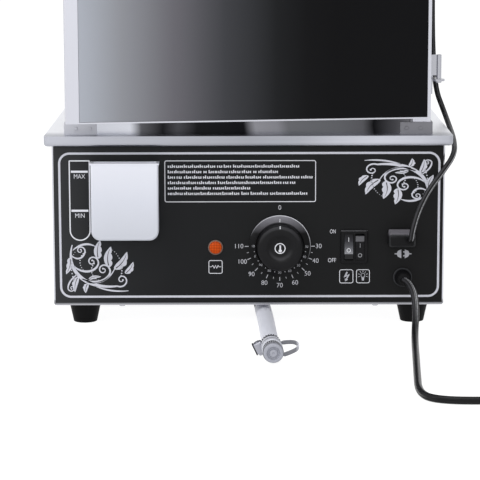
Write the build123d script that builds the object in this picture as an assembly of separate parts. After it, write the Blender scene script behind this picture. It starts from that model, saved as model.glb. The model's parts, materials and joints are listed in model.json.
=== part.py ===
from build123d import *
import os
from math import ceil, cos, pi, radians, sin, sqrt, tan

# Dumpling steamer: a water bath base with a glass cabinet of shelves above it.
# Millimetres, +Z up, +X to the right seen from the front. While it is built, Y = 0 is the
# face of the front panel and Y grows towards the back. At the end every piece is moved along
# Y, so that the origin lies on the table under the middle of the whole steamer.

# Sheet metal and clearances
sheet = 1.2
panel_sheet = 0.8
panel_margin = 1.6
seat_gap = 0.3
slide_gap = 0.08
hole_gap = 0.2

# Base
base_width = 364.0
base_depth = 350.0
base_height = 150.0
base_corner_radius = 3.0
base_flange = 14.0
vent_length = 50.0
vent_width = 4.0
vent_pitch = 14.0
vent_rows = 6
vent_column_x = 70.0

# Feet
foot_height = 18.5
foot_top_radius = 14.9
foot_bottom_radius = 10.9
foot_edge_radius = 1.0
foot_inset_x = 28.0
foot_inset_y = 20.0
foot_recess_radius = 5.0
foot_recess_height = 12.0

# Screws
screw_shank_radius = 1.9
screw_head_radius = 3.5
screw_head_height = 2.2
screw_length = 7.5
screw_nut_radius = 4.0
screw_nut_height = 3.0
front_screw_x = 118.5
side_screw_y = 175.0

# Deck
rim_height = 9.5
rim_overhang = 6.5
rim_corner_radius = 4.0
rim_roll_radius = 3.0
rim_lip = 15.0
deck_mouth_width = 284.0
deck_mouth_depth = 246.0
deck_mouth_radius = 18.0

# Water tank and steam plate
tank_width = 300.0
tank_depth = 262.0
tank_height = 100.0
tank_sheet = 1.0
tank_flange = 12.0
tank_corner_radius = 20.0
tank_bottom_radius = 8.0
tank_spigot_length = 18.0
plate_width = 300.0
plate_depth = 264.0
plate_skirt = 5.0
plate_skirt_gap = 0.8
plate_slot_length = 76.0
plate_slot_width = 3.5
plate_slot_pitch = 26.0
plate_slot_rows = 8
plate_slot_column = 90.0

# Heating element
element_radius = 4.0
element_leg_spacing = 60.0
element_above_floor = 14.0
element_front_reach = 36.0
element_end_gap = 26.0
element_pin_radius = 1.6
element_pin_length = 9.0
bushing_radius = 8.0
bushing_length = 7.0

# Thermal cut-out under the tank
cutout_radius = 12.0
cutout_height = 8.0
cutout_x = -60.0
cutout_y = 150.0

# Thermostat, centred on the dial
dial_x = 29.0
dial_z = 74.8
dial_skirt_radius = 28.7
dial_skirt_edge = 1.2
dial_skirt_rise = 4.4
dial_skirt_inner_radius = 22.8
dial_knob_radius = 21.6
dial_knob_height = 18.5
dial_knob_draft = 0.9
dial_rim_round = 1.4
dial_dish_radius = 11.5
dial_dish_depth = 1.3
dial_groove_depth = 2.6
dial_wall = 2.0
shaft_radius = 3.0
shaft_reach = 14.0
shaft_tail = 5.0
bush_radius = 5.0
bush_reach = 1.2
thermostat_width = 34.0
thermostat_height = 34.0
thermostat_depth = 22.0
capillary_radius = 0.9
capillary_offset = 12.0
capillary_z = 87.0
bulb_radius = 3.0
bulb_length = 80.0
bulb_z = 102.0
bulb_wall_gap = 5.0

# Indicator lamp
lamp_x = -30.7
lamp_z = 73.3
lamp_bezel_radius = 6.9
lamp_bezel_height = 1.8
lamp_barrel_radius = 5.4
lamp_barrel_depth = 20.0
lamp_lens_radius = 5.9
lamp_lens_height = 3.4

# Double switch
switch_x = 98.2
switch_z = 73.6
switch_width = 25.5
switch_height = 31.7
switch_flange = 2.2
switch_body_width = 22.0
switch_body_height = 28.0
switch_body_depth = 20.0
switch_web = 1.6
switch_side_wall = 1.7
rocker_width = 7.9
rocker_height = 23.4
rocker_tilt = 8.0
rocker_proud = 3.6
rocker_waist = 2.3
rocker_depth = 6.0
rocker_pivot_depth = 1.0
rocker_pin_radius = 1.4
rocker_pin_reach = 0.7
rocker_gap = 0.35
rocker_swing_gap = 0.8

# Light outlet and plug
outlet_x = 143.1
outlet_z = 81.5
outlet_width = 25.8
outlet_height = 18.3
outlet_radius = 4.0
outlet_flange = 2.0
outlet_body_width = 20.0
outlet_body_height = 13.0
outlet_body_depth = 16.0
plug_width = 23.4
plug_height = 15.4
plug_reach = 20.0
plug_radius = 3.2
plug_edge = 1.6
plug_boot_x = 5.6
plug_boot_z = 3.2
plug_boot_radius = 3.9
plug_boot_reach = 3.0

# Cord gland
gland_x = 143.4
gland_z = 44.9
gland_flange_radius = 8.7
gland_flange_height = 2.5
gland_dome_radius = 7.6
gland_nose_radius = 5.6
gland_reach = 12.0
gland_thread_radius = 6.0
gland_thread_reach = 12.0
gland_nut_radius = 8.4
gland_nut_height = 5.0

# Water box on the panel
box_left = -145.1
box_right = -83.0
box_bottom = 82.0
box_top = 154.0
box_reach = 15.0
box_wall = 2.0
box_corner_radius = 8.5
box_lip = 0.7
box_lip_height = 1.6
box_port_x = -114.0
box_port_z = 91.0
port_radius = 6.0
port_bore_radius = 4.0
port_reach = 14.0
fill_hose_wall = 2.5

# Cabinet
cabinet_width = 337.5
cabinet_depth = 331.0
cabinet_setback = 16.0
cabinet_height = 430.0
post_leg = 18.0
post_sheet = 1.5
bracket_leg = 30.0
bracket_height = 11.0
bracket_sheet = 1.7
rivet_radius = 2.2
rivet_height = 1.0
rivet_from_corner = 11.0
rivet_spacing = 13.0
rest_pin_x = 150.7
rest_pin_radius = 1.4
rest_pin_height = 3.9
lower_rail_height = 15.0
upper_rail_height = 20.0
rail_sheet = 1.5
rail_flange = 11.0
pane_sheet = 4.0

# Shelf ladders and shelves
ladder_bar = 3.0
ladder_bar_width = 14.0
ladder_front_y = 44.0
ladder_back_y = 300.0
runner_web = 2.0
runner_height = 12.0
runner_flange = 11.0
runner_sheet = 1.5
first_shelf = 58.0
shelf_pitch = 98.0
shelf_count = 4
shelf_front_gap = 9.0
shelf_back_gap = 5.0
shelf_side_gap = 2.0
shelf_frame_radius = 2.5
shelf_corner_radius = 12.0
shelf_wire_radius = 1.5
shelf_wire_weld = 1.0
shelf_wire_count = 13

# Ceiling, lamp and top cover
ceiling_sheet = 1.2
ceiling_gap = 2.0
window_length = 236.0
window_width = 46.0
lens_border = 8.0
lens_sheet = 2.0
tube_radius = 8.0
tube_length = 210.0
tube_above_ceiling = 16.0
holder_width = 9.0
holder_depth = 24.0
cover_height = 42.0
cover_skirt = 8.0
cover_corner_radius = 3.0
cover_screw_inset = 60.0
cover_screw_radius = 3.2
cover_screw_height = 1.6
cover_screw_shank_radius = 1.4
cover_screw_shank = 2.8
boot_y = 135.0
boot_reach = 12.25
boot_above_skirt = 22.0
boot_drop = 16.0
boot_radius = 4.6
boot_bend = 8.0
boot_flange_radius = 7.0
boot_flange = 2.0

# Door
door_thickness = 12.0
door_bottom_gap = 4.8
door_top_gap = 3.0
door_stile = 12.2
door_edge = 3.0
door_sill = 1.3
door_inset = 0.8
door_hinge_inset = 2.2
door_ledge = 14.0
door_glass = 4.0
door_glass_inset = 0.2
door_ajar = 7.2
seal_width = 8.0
seal_thickness = 1.7
seal_inset = 2.5
handle_span = 96.0
handle_reach = 26.0
handle_radius = 4.0
handle_bend = 10.0
handle_rose_radius = 5.6
handle_rose = 2.0

# Hinges
hinge_out = 6.2
hinge_pin_radius = 1.5
hinge_pin_head_radius = 2.6
hinge_pin_head = 1.6
hinge_ear = 2.0
hinge_ear_radius = 5.5
hinge_from_end = 34.8
hinge_barrel_radius = 2.4
hinge_barrel_height = 22.0
hinge_plate_height = 28.0
hinge_plate_depth = 20.0
hinge_plate_back = 2.5
hinge_leaf_width = 7.0
hinge_leaf_height = 19.0
hinge_sheet = 1.5

# Drain elbow and hose
elbow_x = 12.4
elbow_y = 60.0
elbow_dome_radius = 11.5
elbow_pipe_radius = 9.0
elbow_socket_radius = 11.0
elbow_socket_height = 12.0
elbow_bore_radius = 3.5
spout_radius = 8.0
spout_bore_radius = 5.5
spout_length = 14.0
hose_radius = 7.7
hose_bore_radius = 5.0
barb_length = 14.0
clamp_band = 0.8
clamp_width = 9.0
clamp_house_width = 8.0
clamp_house_depth = 6.0
clamp_house_height = 8.0
clamp_screw_radius = 2.2
clamp_screw_length = 13.0
nozzle_collar_radius = 9.3
nozzle_collar = 7.0
nozzle_groove_radius = 8.0
nozzle_groove = 2.5
nozzle_ring = 6.0
nozzle_neck_radius = 6.3
nozzle_neck = 9.0
cap_radius = 8.6
cap_grip = 10.5
cap_groove_radius = 7.8
cap_groove = 2.4
cap_disc = 5.0
cap_ribs = 28
cap_rib_radius = 0.45
cap_recess_radius = 5.6
cap_recess = 1.2
cap_button_radius = 3.0
strap_thickness = 1.2
strap_width = 4.6
strap_reach = 17.0

# Routes of the hose and the two cords: x, distance behind the panel's face, height
hose_route = [
    (13.5, 38.0, 7.8), (15.0, 6.0, 7.75), (16.1, -28.0, 7.8), (17.0, -65.0, 8.0),
    (18.0, -104.0, 8.6), (19.3, -138.0, 9.4),
]
mains_radius = 3.2
mains_route = [
    (143.4, -12.0, 44.9), (143.4, -21.0, 44.9), (147.4, -33.0, 44.1), (151.2, -47.0, 37.0),
    (151.6, -58.0, 21.5), (149.4, -74.0, 8.6), (147.2, -104.0, 3.3), (143.6, -160.0, 3.3),
    (139.6, -220.0, 3.3), (134.5, -272.0, 3.3), (146.0, -310.0, 3.3), (190.0, -314.0, 3.3),
    (232.0, -302.4, 3.3), (252.0, -301.0, 3.3),
]
light_radius = 2.6
light_route = [
    (148.7, -23.0, 84.7), (148.7, -31.0, 84.7), (149.6, -35.0, 95.5), (154.8, -31.0, 112.0),
    (164.6, -22.0, 129.5), (178.5, -11.5, 145.0), (191.0, 4.5, 159.5), (193.8, 40.0, 168.5),
    (193.4, 84.0, 176.5), (189.8, 112.0, 190.0), (183.4, 124.5, 208.0), (180.6, 131.0, 247.0),
    (179.8, 134.0, 306.0), (180.2, 133.6, 382.0), (181.0, 133.8, 459.0), (182.2, 134.8, 535.0),
    (182.5, 135.0, 611.0),
]

# Coil of the rest of the mains cord, and its plug
coil_centre = (252.0, -256.0)
coil_radius = 45.0
coil_turns = 4.25
coil_turn_gap = 0.7
coil_layer_gap = 0.6
coil_tail = (297.5, -214.0, 8.2)
mains_plug_width = 26.0
mains_plug_height = 15.0
mains_plug_length = 34.0
mains_plug_neck = 14.0
mains_plug_neck_radius = 5.0
mains_pin_radius = 2.0
mains_pin_length = 19.0
mains_pin_spacing = 19.0

# Levels and planes that follow
body_z = foot_height + sheet
lip_z = foot_height + base_height
deck_z = lip_z + rim_height
deck_under = deck_z - sheet
tank_floor_z = deck_under - tank_height
wall_back = panel_sheet + sheet
cabinet_front = cabinet_setback - rim_overhang
cabinet_back = cabinet_front + cabinet_depth
cabinet_middle = (cabinet_front + cabinet_back) / 2
tank_front = cabinet_middle - tank_depth / 2
cabinet_half = cabinet_width / 2
cabinet_top = deck_z + cabinet_height
bracket_top = deck_z + bracket_height
pane_outer = cabinet_half - post_sheet
pane_inner = pane_outer - pane_sheet
pane_bottom = deck_z + rail_sheet
pane_top = cabinet_top - rail_sheet
ladder_outer = pane_inner - seat_gap
ladder_inner = ladder_outer - ladder_bar
runner_inner = ladder_inner - runner_web
cover_bottom = cabinet_top - cover_skirt
cover_top = cabinet_top + cover_height - cover_skirt
door_back = cabinet_front - seat_gap - seal_thickness
door_front = door_back - door_thickness
door_bottom = bracket_top + door_bottom_gap
door_top = cover_bottom - door_top_gap
hinge_x = cabinet_half + hinge_out
hinge_y = (door_front + door_back) / 2
door_left = -cabinet_half + door_inset
door_right = cabinet_half - door_hinge_inset
handle_x = door_left + door_stile / 2
element_z = tank_floor_z + element_above_floor


def block(x0, x1, y0, y1, z0, z1):
    """A box between two corners."""
    return Pos((x0 + x1) / 2, (y0 + y1) / 2, (z0 + z1) / 2) * Box(x1 - x0, y1 - y0, z1 - z0)


def rounded_block(x0, x1, y0, y1, z0, z1, radius):
    """A box with rounded upright edges."""
    base = Plane(origin=((x0 + x1) / 2, (y0 + y1) / 2, z0))
    return extrude(base * RectangleRounded(x1 - x0, y1 - y0, radius), amount=z1 - z0)


def facing(x, z, y=0.0):
    """The plane at a point that looks out of the front, with its own Z towards the front."""
    return Plane(origin=(x, y, z), x_dir=(1, 0, 0), z_dir=(0, -1, 0))


def upright(x, y, z):
    """A level plane at a point."""
    return Plane(origin=(x, y, z))


def turned(*outline):
    """A solid turned about Z from its outline, as radius and height."""
    corners = [(radius, 0, height) for radius, height in outline]
    return revolve(make_face(Polyline(*corners, close=True)), Axis.Z)


def rod(plane, radius, start, end):
    """A round bar along a plane's Z, from one height to another."""
    return plane * Pos(0, 0, (start + end) / 2) * Cylinder(radius, end - start)


def pill(plane, width, height, radius, start, end):
    """A bar with a rounded rectangular section along a plane's Z."""
    face = plane.offset(start) * RectangleRounded(width, height, radius)
    return extrude(face, amount=end - start)


def both_sides(piece):
    """The piece and its mirror image on the other side of the steamer."""
    return [piece, mirror(piece, about=Plane.YZ)]


def swept_round(path, radius):
    """A round bar along a path."""
    section = Plane(origin=path @ 0, z_dir=path % 0) * Circle(radius)
    return sweep(section, path=path)


def route_radii(points):
    """The radius at each inner point of a route: as large as its two runs allow."""
    radii = []
    for before, here, after in zip(points, points[1:], points[2:]):
        run_in = Vector(here) - Vector(before)
        run_out = Vector(after) - Vector(here)
        turn = radians(run_in.get_angle(run_out))
        radii.append(0.45 * min(run_in.length, run_out.length) / tan(turn / 2))
    return radii


def flexible(name, points, radius, bore=0.0):
    """A cord or hose along a route, with its bend radii and its volume printed."""
    radii = route_radii(points)
    path = FilletPolyline(*points, radius=radii)
    tube = swept_round(path, radius)
    share = tube.volume / (pi * radius**2 * path.length)
    print(name, "length", round(path.length, 1), "tightest", round(min(radii), 1))
    print(name, "radii", [round(value) for value in radii], "volume share", round(share, 4))
    return tube - swept_round(path, bore) if bore else tube


def foot_places():
    """The middle of each foot, as x and y."""
    x = base_width / 2 - foot_inset_x
    return [(side * x, y) for side in (-1, 1) for y in (foot_inset_y, base_depth - foot_inset_y)]


def base_screw_places():
    """The middle of each screw that holds the floor plate to the body's flange."""
    inset = wall_back + base_flange / 2
    ends = [(side * front_screw_x, y) for side in (-1, 1) for y in (inset, base_depth - inset)]
    middles = [(side * (base_width / 2 - inset), side_screw_y) for side in (-1, 1)]
    return ends + middles


def front_cuts(grow):
    """What the controls need cut out of the front, through panel and body."""
    through = (-wall_back - grow, grow)
    outlet = facing(outlet_x, outlet_z)
    switch = facing(switch_x, switch_z)
    return [
        rod(facing(box_port_x, box_port_z), port_radius + grow, *through),
        rod(facing(lamp_x, lamp_z), lamp_barrel_radius + grow, *through),
        rod(facing(dial_x, dial_z), bush_radius + grow, *through),
        rod(facing(gland_x, gland_z), gland_thread_radius + grow, *through),
        pill(outlet, outlet_body_width + grow, outlet_body_height + grow, 1, *through),
        pill(switch, switch_body_width + grow, switch_body_height + grow, 1, *through),
    ]


def make_base_body():
    half = base_width / 2
    outer = rounded_block(-half, half, panel_sheet, base_depth, body_z, lip_z, base_corner_radius)
    inside = block(
        -half + sheet, half - sheet, wall_back, base_depth - sheet, body_z + sheet, lip_z
    )
    mouth = half - sheet - base_flange
    back = base_depth - sheet - base_flange
    bottom = block(-mouth, mouth, wall_back + base_flange, back, body_z, body_z + sheet)
    holes = [
        rod(upright(x, y, body_z), screw_shank_radius + hole_gap, 0, sheet)
        for x, y in base_screw_places()
    ]
    return outer - inside - bottom - holes - front_cuts(hole_gap)


def make_base_floor():
    inset = sheet / 2
    half = base_width / 2 - inset
    plate = rounded_block(
        -half, half, panel_sheet + inset, base_depth - inset, foot_height, body_z, base_corner_radius
    )
    places = base_screw_places() + foot_places()
    holes = [rod(upright(x, y, foot_height), screw_shank_radius + hole_gap, 0, sheet) for x, y in places]
    elbow = rod(upright(elbow_x, elbow_y, foot_height), elbow_pipe_radius + hole_gap, 0, sheet)
    vents = []
    for side in (-1, 1):
        for row in range(vent_rows):
            y = base_depth / 2 + (row - (vent_rows - 1) / 2) * vent_pitch
            slot = upright(side * vent_column_x, y, foot_height) * SlotOverall(vent_length, vent_width)
            vents.append(extrude(slot, amount=sheet))
    return plate - holes - elbow - vents


def make_feet():
    foot = turned(
        (0, 0), (foot_bottom_radius, 0), (foot_top_radius, foot_height), (0, foot_height)
    )
    foot = fillet(foot.edges().group_by(Axis.Z)[0], foot_edge_radius)
    recess = rod(Plane.XY, foot_recess_radius, 0, foot_recess_height)
    hole = rod(Plane.XY, screw_shank_radius + hole_gap, foot_recess_height, foot_height)
    foot = foot - recess - hole
    return [upright(x, y, 0) * foot for x, y in foot_places()]


def make_base_screws():
    head = turned(
        (0, -screw_head_height),
        (screw_head_radius * 0.7, -screw_head_height),
        (screw_head_radius, -screw_head_height / 2),
        (screw_head_radius, 0),
        (screw_shank_radius, 0),
        (screw_shank_radius, screw_length),
        (0, screw_length),
    )
    screws = [upright(x, y, foot_height) * head for x, y in base_screw_places()]
    rise = foot_height + sheet - foot_recess_height
    bolt = turned(
        (0, -screw_head_height),
        (screw_head_radius, -screw_head_height),
        (screw_head_radius, 0),
        (screw_shank_radius, 0),
        (screw_shank_radius, rise),
        (screw_nut_radius, rise),
        (screw_nut_radius, rise + screw_nut_height),
        (0, rise + screw_nut_height),
    )
    return screws + [upright(x, y, foot_recess_height) * bolt for x, y in foot_places()]


def make_front_panel():
    half = base_width / 2 - panel_margin
    skin = rounded_block(-half, half, 0, panel_sheet, body_z + sheet, lip_z, panel_sheet / 4)
    return skin - front_cuts(hole_gap)


def make_deck_tray():
    half = base_width / 2 + rim_overhang
    front = -rim_overhang
    back = base_depth + rim_overhang
    outer = rounded_block(-half, half, front, back, lip_z, deck_z, rim_corner_radius)
    outer = fillet(outer.faces().sort_by(Axis.Z)[0].edges(), rim_roll_radius)
    hollow = rounded_block(
        -half + sheet, half - sheet, front + sheet, back - sheet,
        lip_z + sheet, deck_under, rim_corner_radius - sheet,
    )
    below = block(
        -half + rim_lip, half - rim_lip, front + rim_lip, back - rim_lip, lip_z, lip_z + sheet
    )
    middle = upright(0, cabinet_middle, deck_under)
    mouth = pill(middle, deck_mouth_width, deck_mouth_depth, deck_mouth_radius, 0, sheet)
    return outer - hollow - below - mouth


def make_water_tank():
    centre = upright(0, cabinet_middle, tank_floor_z)
    shell = pill(centre, tank_width, tank_depth, tank_corner_radius, 0, tank_height)
    shell = fillet(shell.faces().sort_by(Axis.Z)[0].edges(), tank_bottom_radius)
    inside = pill(
        centre, tank_width - 2 * tank_sheet, tank_depth - 2 * tank_sheet,
        tank_corner_radius - tank_sheet, tank_sheet, tank_height,
    )
    inside = fillet(inside.faces().sort_by(Axis.Z)[0].edges(), tank_bottom_radius - tank_sheet)
    flange = pill(
        centre, tank_width + 2 * tank_flange, tank_depth + 2 * tank_flange,
        tank_corner_radius, tank_height - sheet, tank_height,
    )
    port = facing(box_port_x, box_port_z, tank_front + tank_sheet)
    spigot = rod(port, port_radius, 0, tank_sheet + tank_spigot_length)
    bore = rod(port, port_bore_radius, -tank_sheet, tank_sheet + tank_spigot_length)
    drain = upright(elbow_x, elbow_y, tank_floor_z)
    spout = rod(drain, spout_radius, -spout_length, tank_sheet)
    outlet = rod(drain, spout_bore_radius, -spout_length, tank_sheet)
    holes = [rod(facing(x, element_z, tank_front), element_radius, -tank_sheet, 0) for x in element_ends()]
    capillary = facing(dial_x + capillary_offset, capillary_z, tank_front)
    holes.append(rod(capillary, capillary_radius, -tank_sheet, 0))
    return shell + flange + spigot + spout - inside - bore - outlet - holes


def make_steam_plate():
    """The slotted plate on the deck, with a skirt that drops into the deck's mouth."""
    centre = upright(0, cabinet_middle, deck_z)
    plate = pill(centre, plate_width, plate_depth, tank_corner_radius, 0, sheet)
    across = deck_mouth_width - 2 * plate_skirt_gap
    along = deck_mouth_depth - 2 * plate_skirt_gap
    radius = deck_mouth_radius - plate_skirt_gap
    skirt = pill(centre, across, along, radius, -plate_skirt, 0)
    hollow = pill(centre, across - 2 * sheet, along - 2 * sheet, radius - sheet, -plate_skirt, 0)
    slots = []
    for column in (-1, 0, 1):
        for row in range(plate_slot_rows):
            y = (row - (plate_slot_rows - 1) / 2) * plate_slot_pitch
            slot = SlotOverall(plate_slot_length, plate_slot_width)
            slots.append(extrude(centre * Pos(column * plate_slot_column, y, 0) * slot, amount=sheet))
    return plate + (skirt - hollow) - slots


def element_ends():
    """Where the two ends of the heating element come through the tank's front wall."""
    return [-1.5 * element_leg_spacing, 1.5 * element_leg_spacing]


def make_heating_element():
    outside = tank_front - bushing_length - 1
    far = tank_front + tank_depth - element_front_reach
    near = tank_front + element_front_reach
    left, right = element_ends()
    inner = element_leg_spacing / 2
    legs = [
        (right, outside), (right, far), (inner, far), (inner, near),
        (-inner, near), (-inner, far), (left, far), (left, outside),
    ]
    path = FilletPolyline(*[(x, y, element_z) for x, y in legs], radius=element_leg_spacing / 2 - 0.5)
    heater = swept_round(path, element_radius)
    fittings = []
    for x in (left, right):
        port = facing(x, element_z, tank_front)
        bushing = port * extrude(RegularPolygon(bushing_radius, 6), amount=bushing_length)
        pin = rod(port, element_pin_radius, bushing_length + 1, bushing_length + 1 + element_pin_length)
        fittings += [bushing, pin]
    return heater + fittings


def make_thermal_cutout():
    plane = upright(cutout_x, cutout_y, tank_floor_z)
    body = rod(plane, cutout_radius, -cutout_height, 0)
    tabs = [
        block(
            cutout_x + side * 5 - 0.4, cutout_x + side * 5 + 0.4, cutout_y - 3, cutout_y + 3,
            tank_floor_z - cutout_height - 7, tank_floor_z - cutout_height,
        )
        for side in (-1, 1)
    ]
    return body + tabs


def make_thermostat_body():
    plane = facing(dial_x, dial_z, wall_back)
    body = pill(plane, thermostat_width, thermostat_height, 3, -thermostat_depth, 0)
    bush = rod(plane, bush_radius, 0, wall_back + bush_reach)
    bore = rod(plane, shaft_radius + slide_gap, -shaft_tail - seat_gap, wall_back + bush_reach)
    back = wall_back + thermostat_depth
    tabs = [block(x, x + 6, back, back + 7, dial_z + 8, dial_z + 8.8) for x in (dial_x - 12, dial_x + 6)]
    return body + bush + tabs - bore


def make_thermostat_bulb():
    start_y = wall_back + thermostat_depth
    bulb_y = tank_front + tank_sheet + bulb_wall_gap + bulb_radius
    x = dial_x + capillary_offset
    path = FilletPolyline(
        (x, start_y, capillary_z), (x, bulb_y, capillary_z), (x, bulb_y, bulb_z), (dial_x, bulb_y, bulb_z),
        radius=3,
    )
    capillary = swept_round(path, capillary_radius)
    packing = rod(facing(x, capillary_z, tank_front), bulb_radius, 0, bulb_radius)
    bulb_plane = Plane(origin=(dial_x, bulb_y, bulb_z), z_dir=(-1, 0, 0))
    bulb = rod(bulb_plane, bulb_radius, 0, bulb_length)
    wall = tank_front + tank_sheet
    top = bulb_z + bulb_radius
    clips = [
        block(x, x + 5, wall, bulb_y, top - 0.6, top + 0.4)
        for x in (dial_x - bulb_length * 0.25, dial_x - bulb_length * 0.8)
    ]
    return capillary + packing + bulb + clips


def make_thermostat_shaft():
    plane = facing(dial_x, dial_z)
    bar = rod(plane, shaft_radius, -wall_back - shaft_tail, shaft_reach)
    flat = block(
        dial_x - shaft_radius, dial_x + shaft_radius, -shaft_reach, -bush_reach - 1,
        dial_z + shaft_radius * 0.6, dial_z + shaft_radius,
    )
    return bar - flat


def make_thermostat_knob():
    floor = bush_reach + seat_gap
    inner_top = dial_knob_height - dial_wall - dial_dish_depth
    skirt_top = dial_skirt_edge + dial_skirt_rise + floor
    outline = [
        (0, dial_knob_height - dial_dish_depth),
        (dial_dish_radius * 0.7, dial_knob_height - dial_dish_depth),
        (dial_dish_radius, dial_knob_height),
        (dial_knob_radius - dial_knob_draft - dial_rim_round, dial_knob_height),
        (dial_knob_radius - dial_knob_draft, dial_knob_height - dial_rim_round),
        (dial_knob_radius, skirt_top - dial_groove_depth),
        (dial_skirt_inner_radius, skirt_top - dial_groove_depth),
        (dial_skirt_inner_radius, skirt_top),
        (dial_skirt_radius, floor + dial_skirt_edge),
        (dial_skirt_radius, floor),
        (dial_knob_radius - dial_wall, floor),
        (dial_knob_radius - dial_knob_draft - dial_wall, inner_top),
        (0, inner_top),
    ]
    plane = facing(dial_x, dial_z)
    shell = plane * turned(*outline)
    boss = rod(plane, shaft_radius + dial_wall, floor, inner_top)
    bore = rod(plane, shaft_radius, floor, shaft_reach) & make_thermostat_shaft()
    socket = rod(plane, shaft_radius, floor, bush_reach + 1)
    return shell + boss - bore - socket


def make_indicator_bezel():
    barrel = turned(
        (lamp_lens_radius - 1.4, -lamp_barrel_depth + 2),
        (lamp_lens_radius - 1.4, lamp_bezel_height - 1),
        (lamp_lens_radius, lamp_bezel_height - 1),
        (lamp_lens_radius, lamp_bezel_height),
        (lamp_bezel_radius, lamp_bezel_height * 0.4),
        (lamp_bezel_radius, 0),
        (lamp_barrel_radius, 0),
        (lamp_barrel_radius, -lamp_barrel_depth),
        (0, -lamp_barrel_depth),
        (0, -lamp_barrel_depth + 2),
    )
    return facing(lamp_x, lamp_z) * barrel


def make_indicator_lens():
    seat = lamp_bezel_height - 1
    lens = turned(
        (0, seat), (lamp_lens_radius, seat), (lamp_lens_radius, lamp_bezel_height),
        (lamp_lens_radius * 0.8, lamp_lens_height * 0.85), (0, lamp_lens_height),
    )
    return facing(lamp_x, lamp_z) * lens


def rocker_centres():
    """The x of the middle of each rocker: power, then light."""
    half = rocker_width / 2 + rocker_gap + switch_web / 2
    return [switch_x - half, switch_x + half]


def make_switch_housing():
    plane = facing(switch_x, switch_z)
    flange = pill(plane, switch_width, switch_height, 2.5, 0, switch_flange)
    flange = chamfer(flange.faces().sort_by(Axis.Y)[0].edges(), 0.7)
    body = pill(plane, switch_body_width, switch_body_height, 1, -switch_body_depth, 0)
    housing = flange + body
    window_width = rocker_width + 2 * rocker_gap
    window_height = rocker_height + 2 * rocker_swing_gap
    pin_hole = rocker_pin_radius + slide_gap
    pin_reach = rocker_width / 2 + rocker_pin_reach + rocker_gap
    terminals = []
    for x in rocker_centres():
        cell = facing(x, switch_z)
        housing -= pill(cell, window_width, window_height, 0.8, -switch_body_depth + 4, switch_flange)
        pin = Plane(origin=(x, rocker_pivot_depth, switch_z), z_dir=(1, 0, 0))
        housing -= rod(pin, pin_hole, -pin_reach, pin_reach)
        for z in (switch_z - 8, switch_z, switch_z + 8):
            terminals.append(block(x - 3, x + 3, switch_body_depth, switch_body_depth + 8, z - 0.4, z + 0.4))
    return housing + terminals


def make_rocker(x, tilt):
    """A rocker at its pivot, tipped about X: a positive tilt pushes the lower half in."""
    half = rocker_height / 2
    waist = half * 0.35
    low = -rocker_depth * 0.3
    profile = [
        (half, rocker_proud), (waist, rocker_waist), (-waist, rocker_waist), (-half, rocker_proud),
        (-half, low), (0, -rocker_depth), (half, low),
    ]
    side = Plane(origin=(x - rocker_width / 2, 0, switch_z), x_dir=(0, 0, 1), z_dir=(1, 0, 0))
    face = make_face(Polyline(*[(z, height) for z, height in profile], close=True))
    body = extrude(side * face, amount=rocker_width)
    pin = Plane(origin=(x, rocker_pivot_depth, switch_z), z_dir=(1, 0, 0))
    reach = rocker_width / 2 + rocker_pin_reach
    rocker = body + rod(pin, rocker_pin_radius, -reach, reach)
    return rocker.rotate(Axis((x, rocker_pivot_depth, switch_z), (1, 0, 0)), tilt)


def make_light_outlet():
    plane = facing(outlet_x, outlet_z)
    flange = pill(plane, outlet_width, outlet_height, outlet_radius, 0, outlet_flange)
    body = pill(plane, outlet_body_width, outlet_body_height, 1, -outlet_body_depth, 0)
    terminals = [
        block(x - 0.4, x + 0.4, outlet_body_depth, outlet_body_depth + 8, outlet_z - 3, outlet_z + 3)
        for x in (outlet_x - 4, outlet_x + 4)
    ]
    return flange + body + terminals


def make_light_plug():
    plane = facing(outlet_x, outlet_z)
    body = pill(plane, plug_width, plug_height, plug_radius, outlet_flange, plug_reach)
    body = fillet(body.faces().sort_by(Axis.Y)[0].edges(), plug_edge)
    boot_plane = facing(outlet_x + plug_boot_x, outlet_z + plug_boot_z, -plug_reach)
    boot = boot_plane * turned(
        (0, -plug_edge), (plug_boot_radius, -plug_edge), (plug_boot_radius, 0.6),
        (light_radius, plug_boot_reach), (0, plug_boot_reach),
    )
    return body + boot


def make_cord_gland():
    plane = facing(gland_x, gland_z)
    flange = plane * extrude(RegularPolygon(gland_flange_radius, 6), amount=gland_flange_height)
    flange = flange & rod(plane, gland_flange_radius * 0.96, 0, gland_flange_height)
    dome = plane * turned(
        (mains_radius, -gland_thread_reach - wall_back),
        (gland_thread_radius, -gland_thread_reach - wall_back),
        (gland_thread_radius, 0),
        (gland_dome_radius, gland_flange_height * 0.5),
        (gland_dome_radius, gland_reach * 0.55),
        (gland_nose_radius, gland_reach),
        (mains_radius, gland_reach),
    )
    nut_start = -wall_back - gland_nut_height
    nut = plane.offset(nut_start) * extrude(RegularPolygon(gland_nut_radius, 6), amount=gland_nut_height)
    bore = rod(plane, mains_radius, -gland_thread_reach - wall_back, gland_reach)
    return dome + flange + nut - bore


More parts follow.
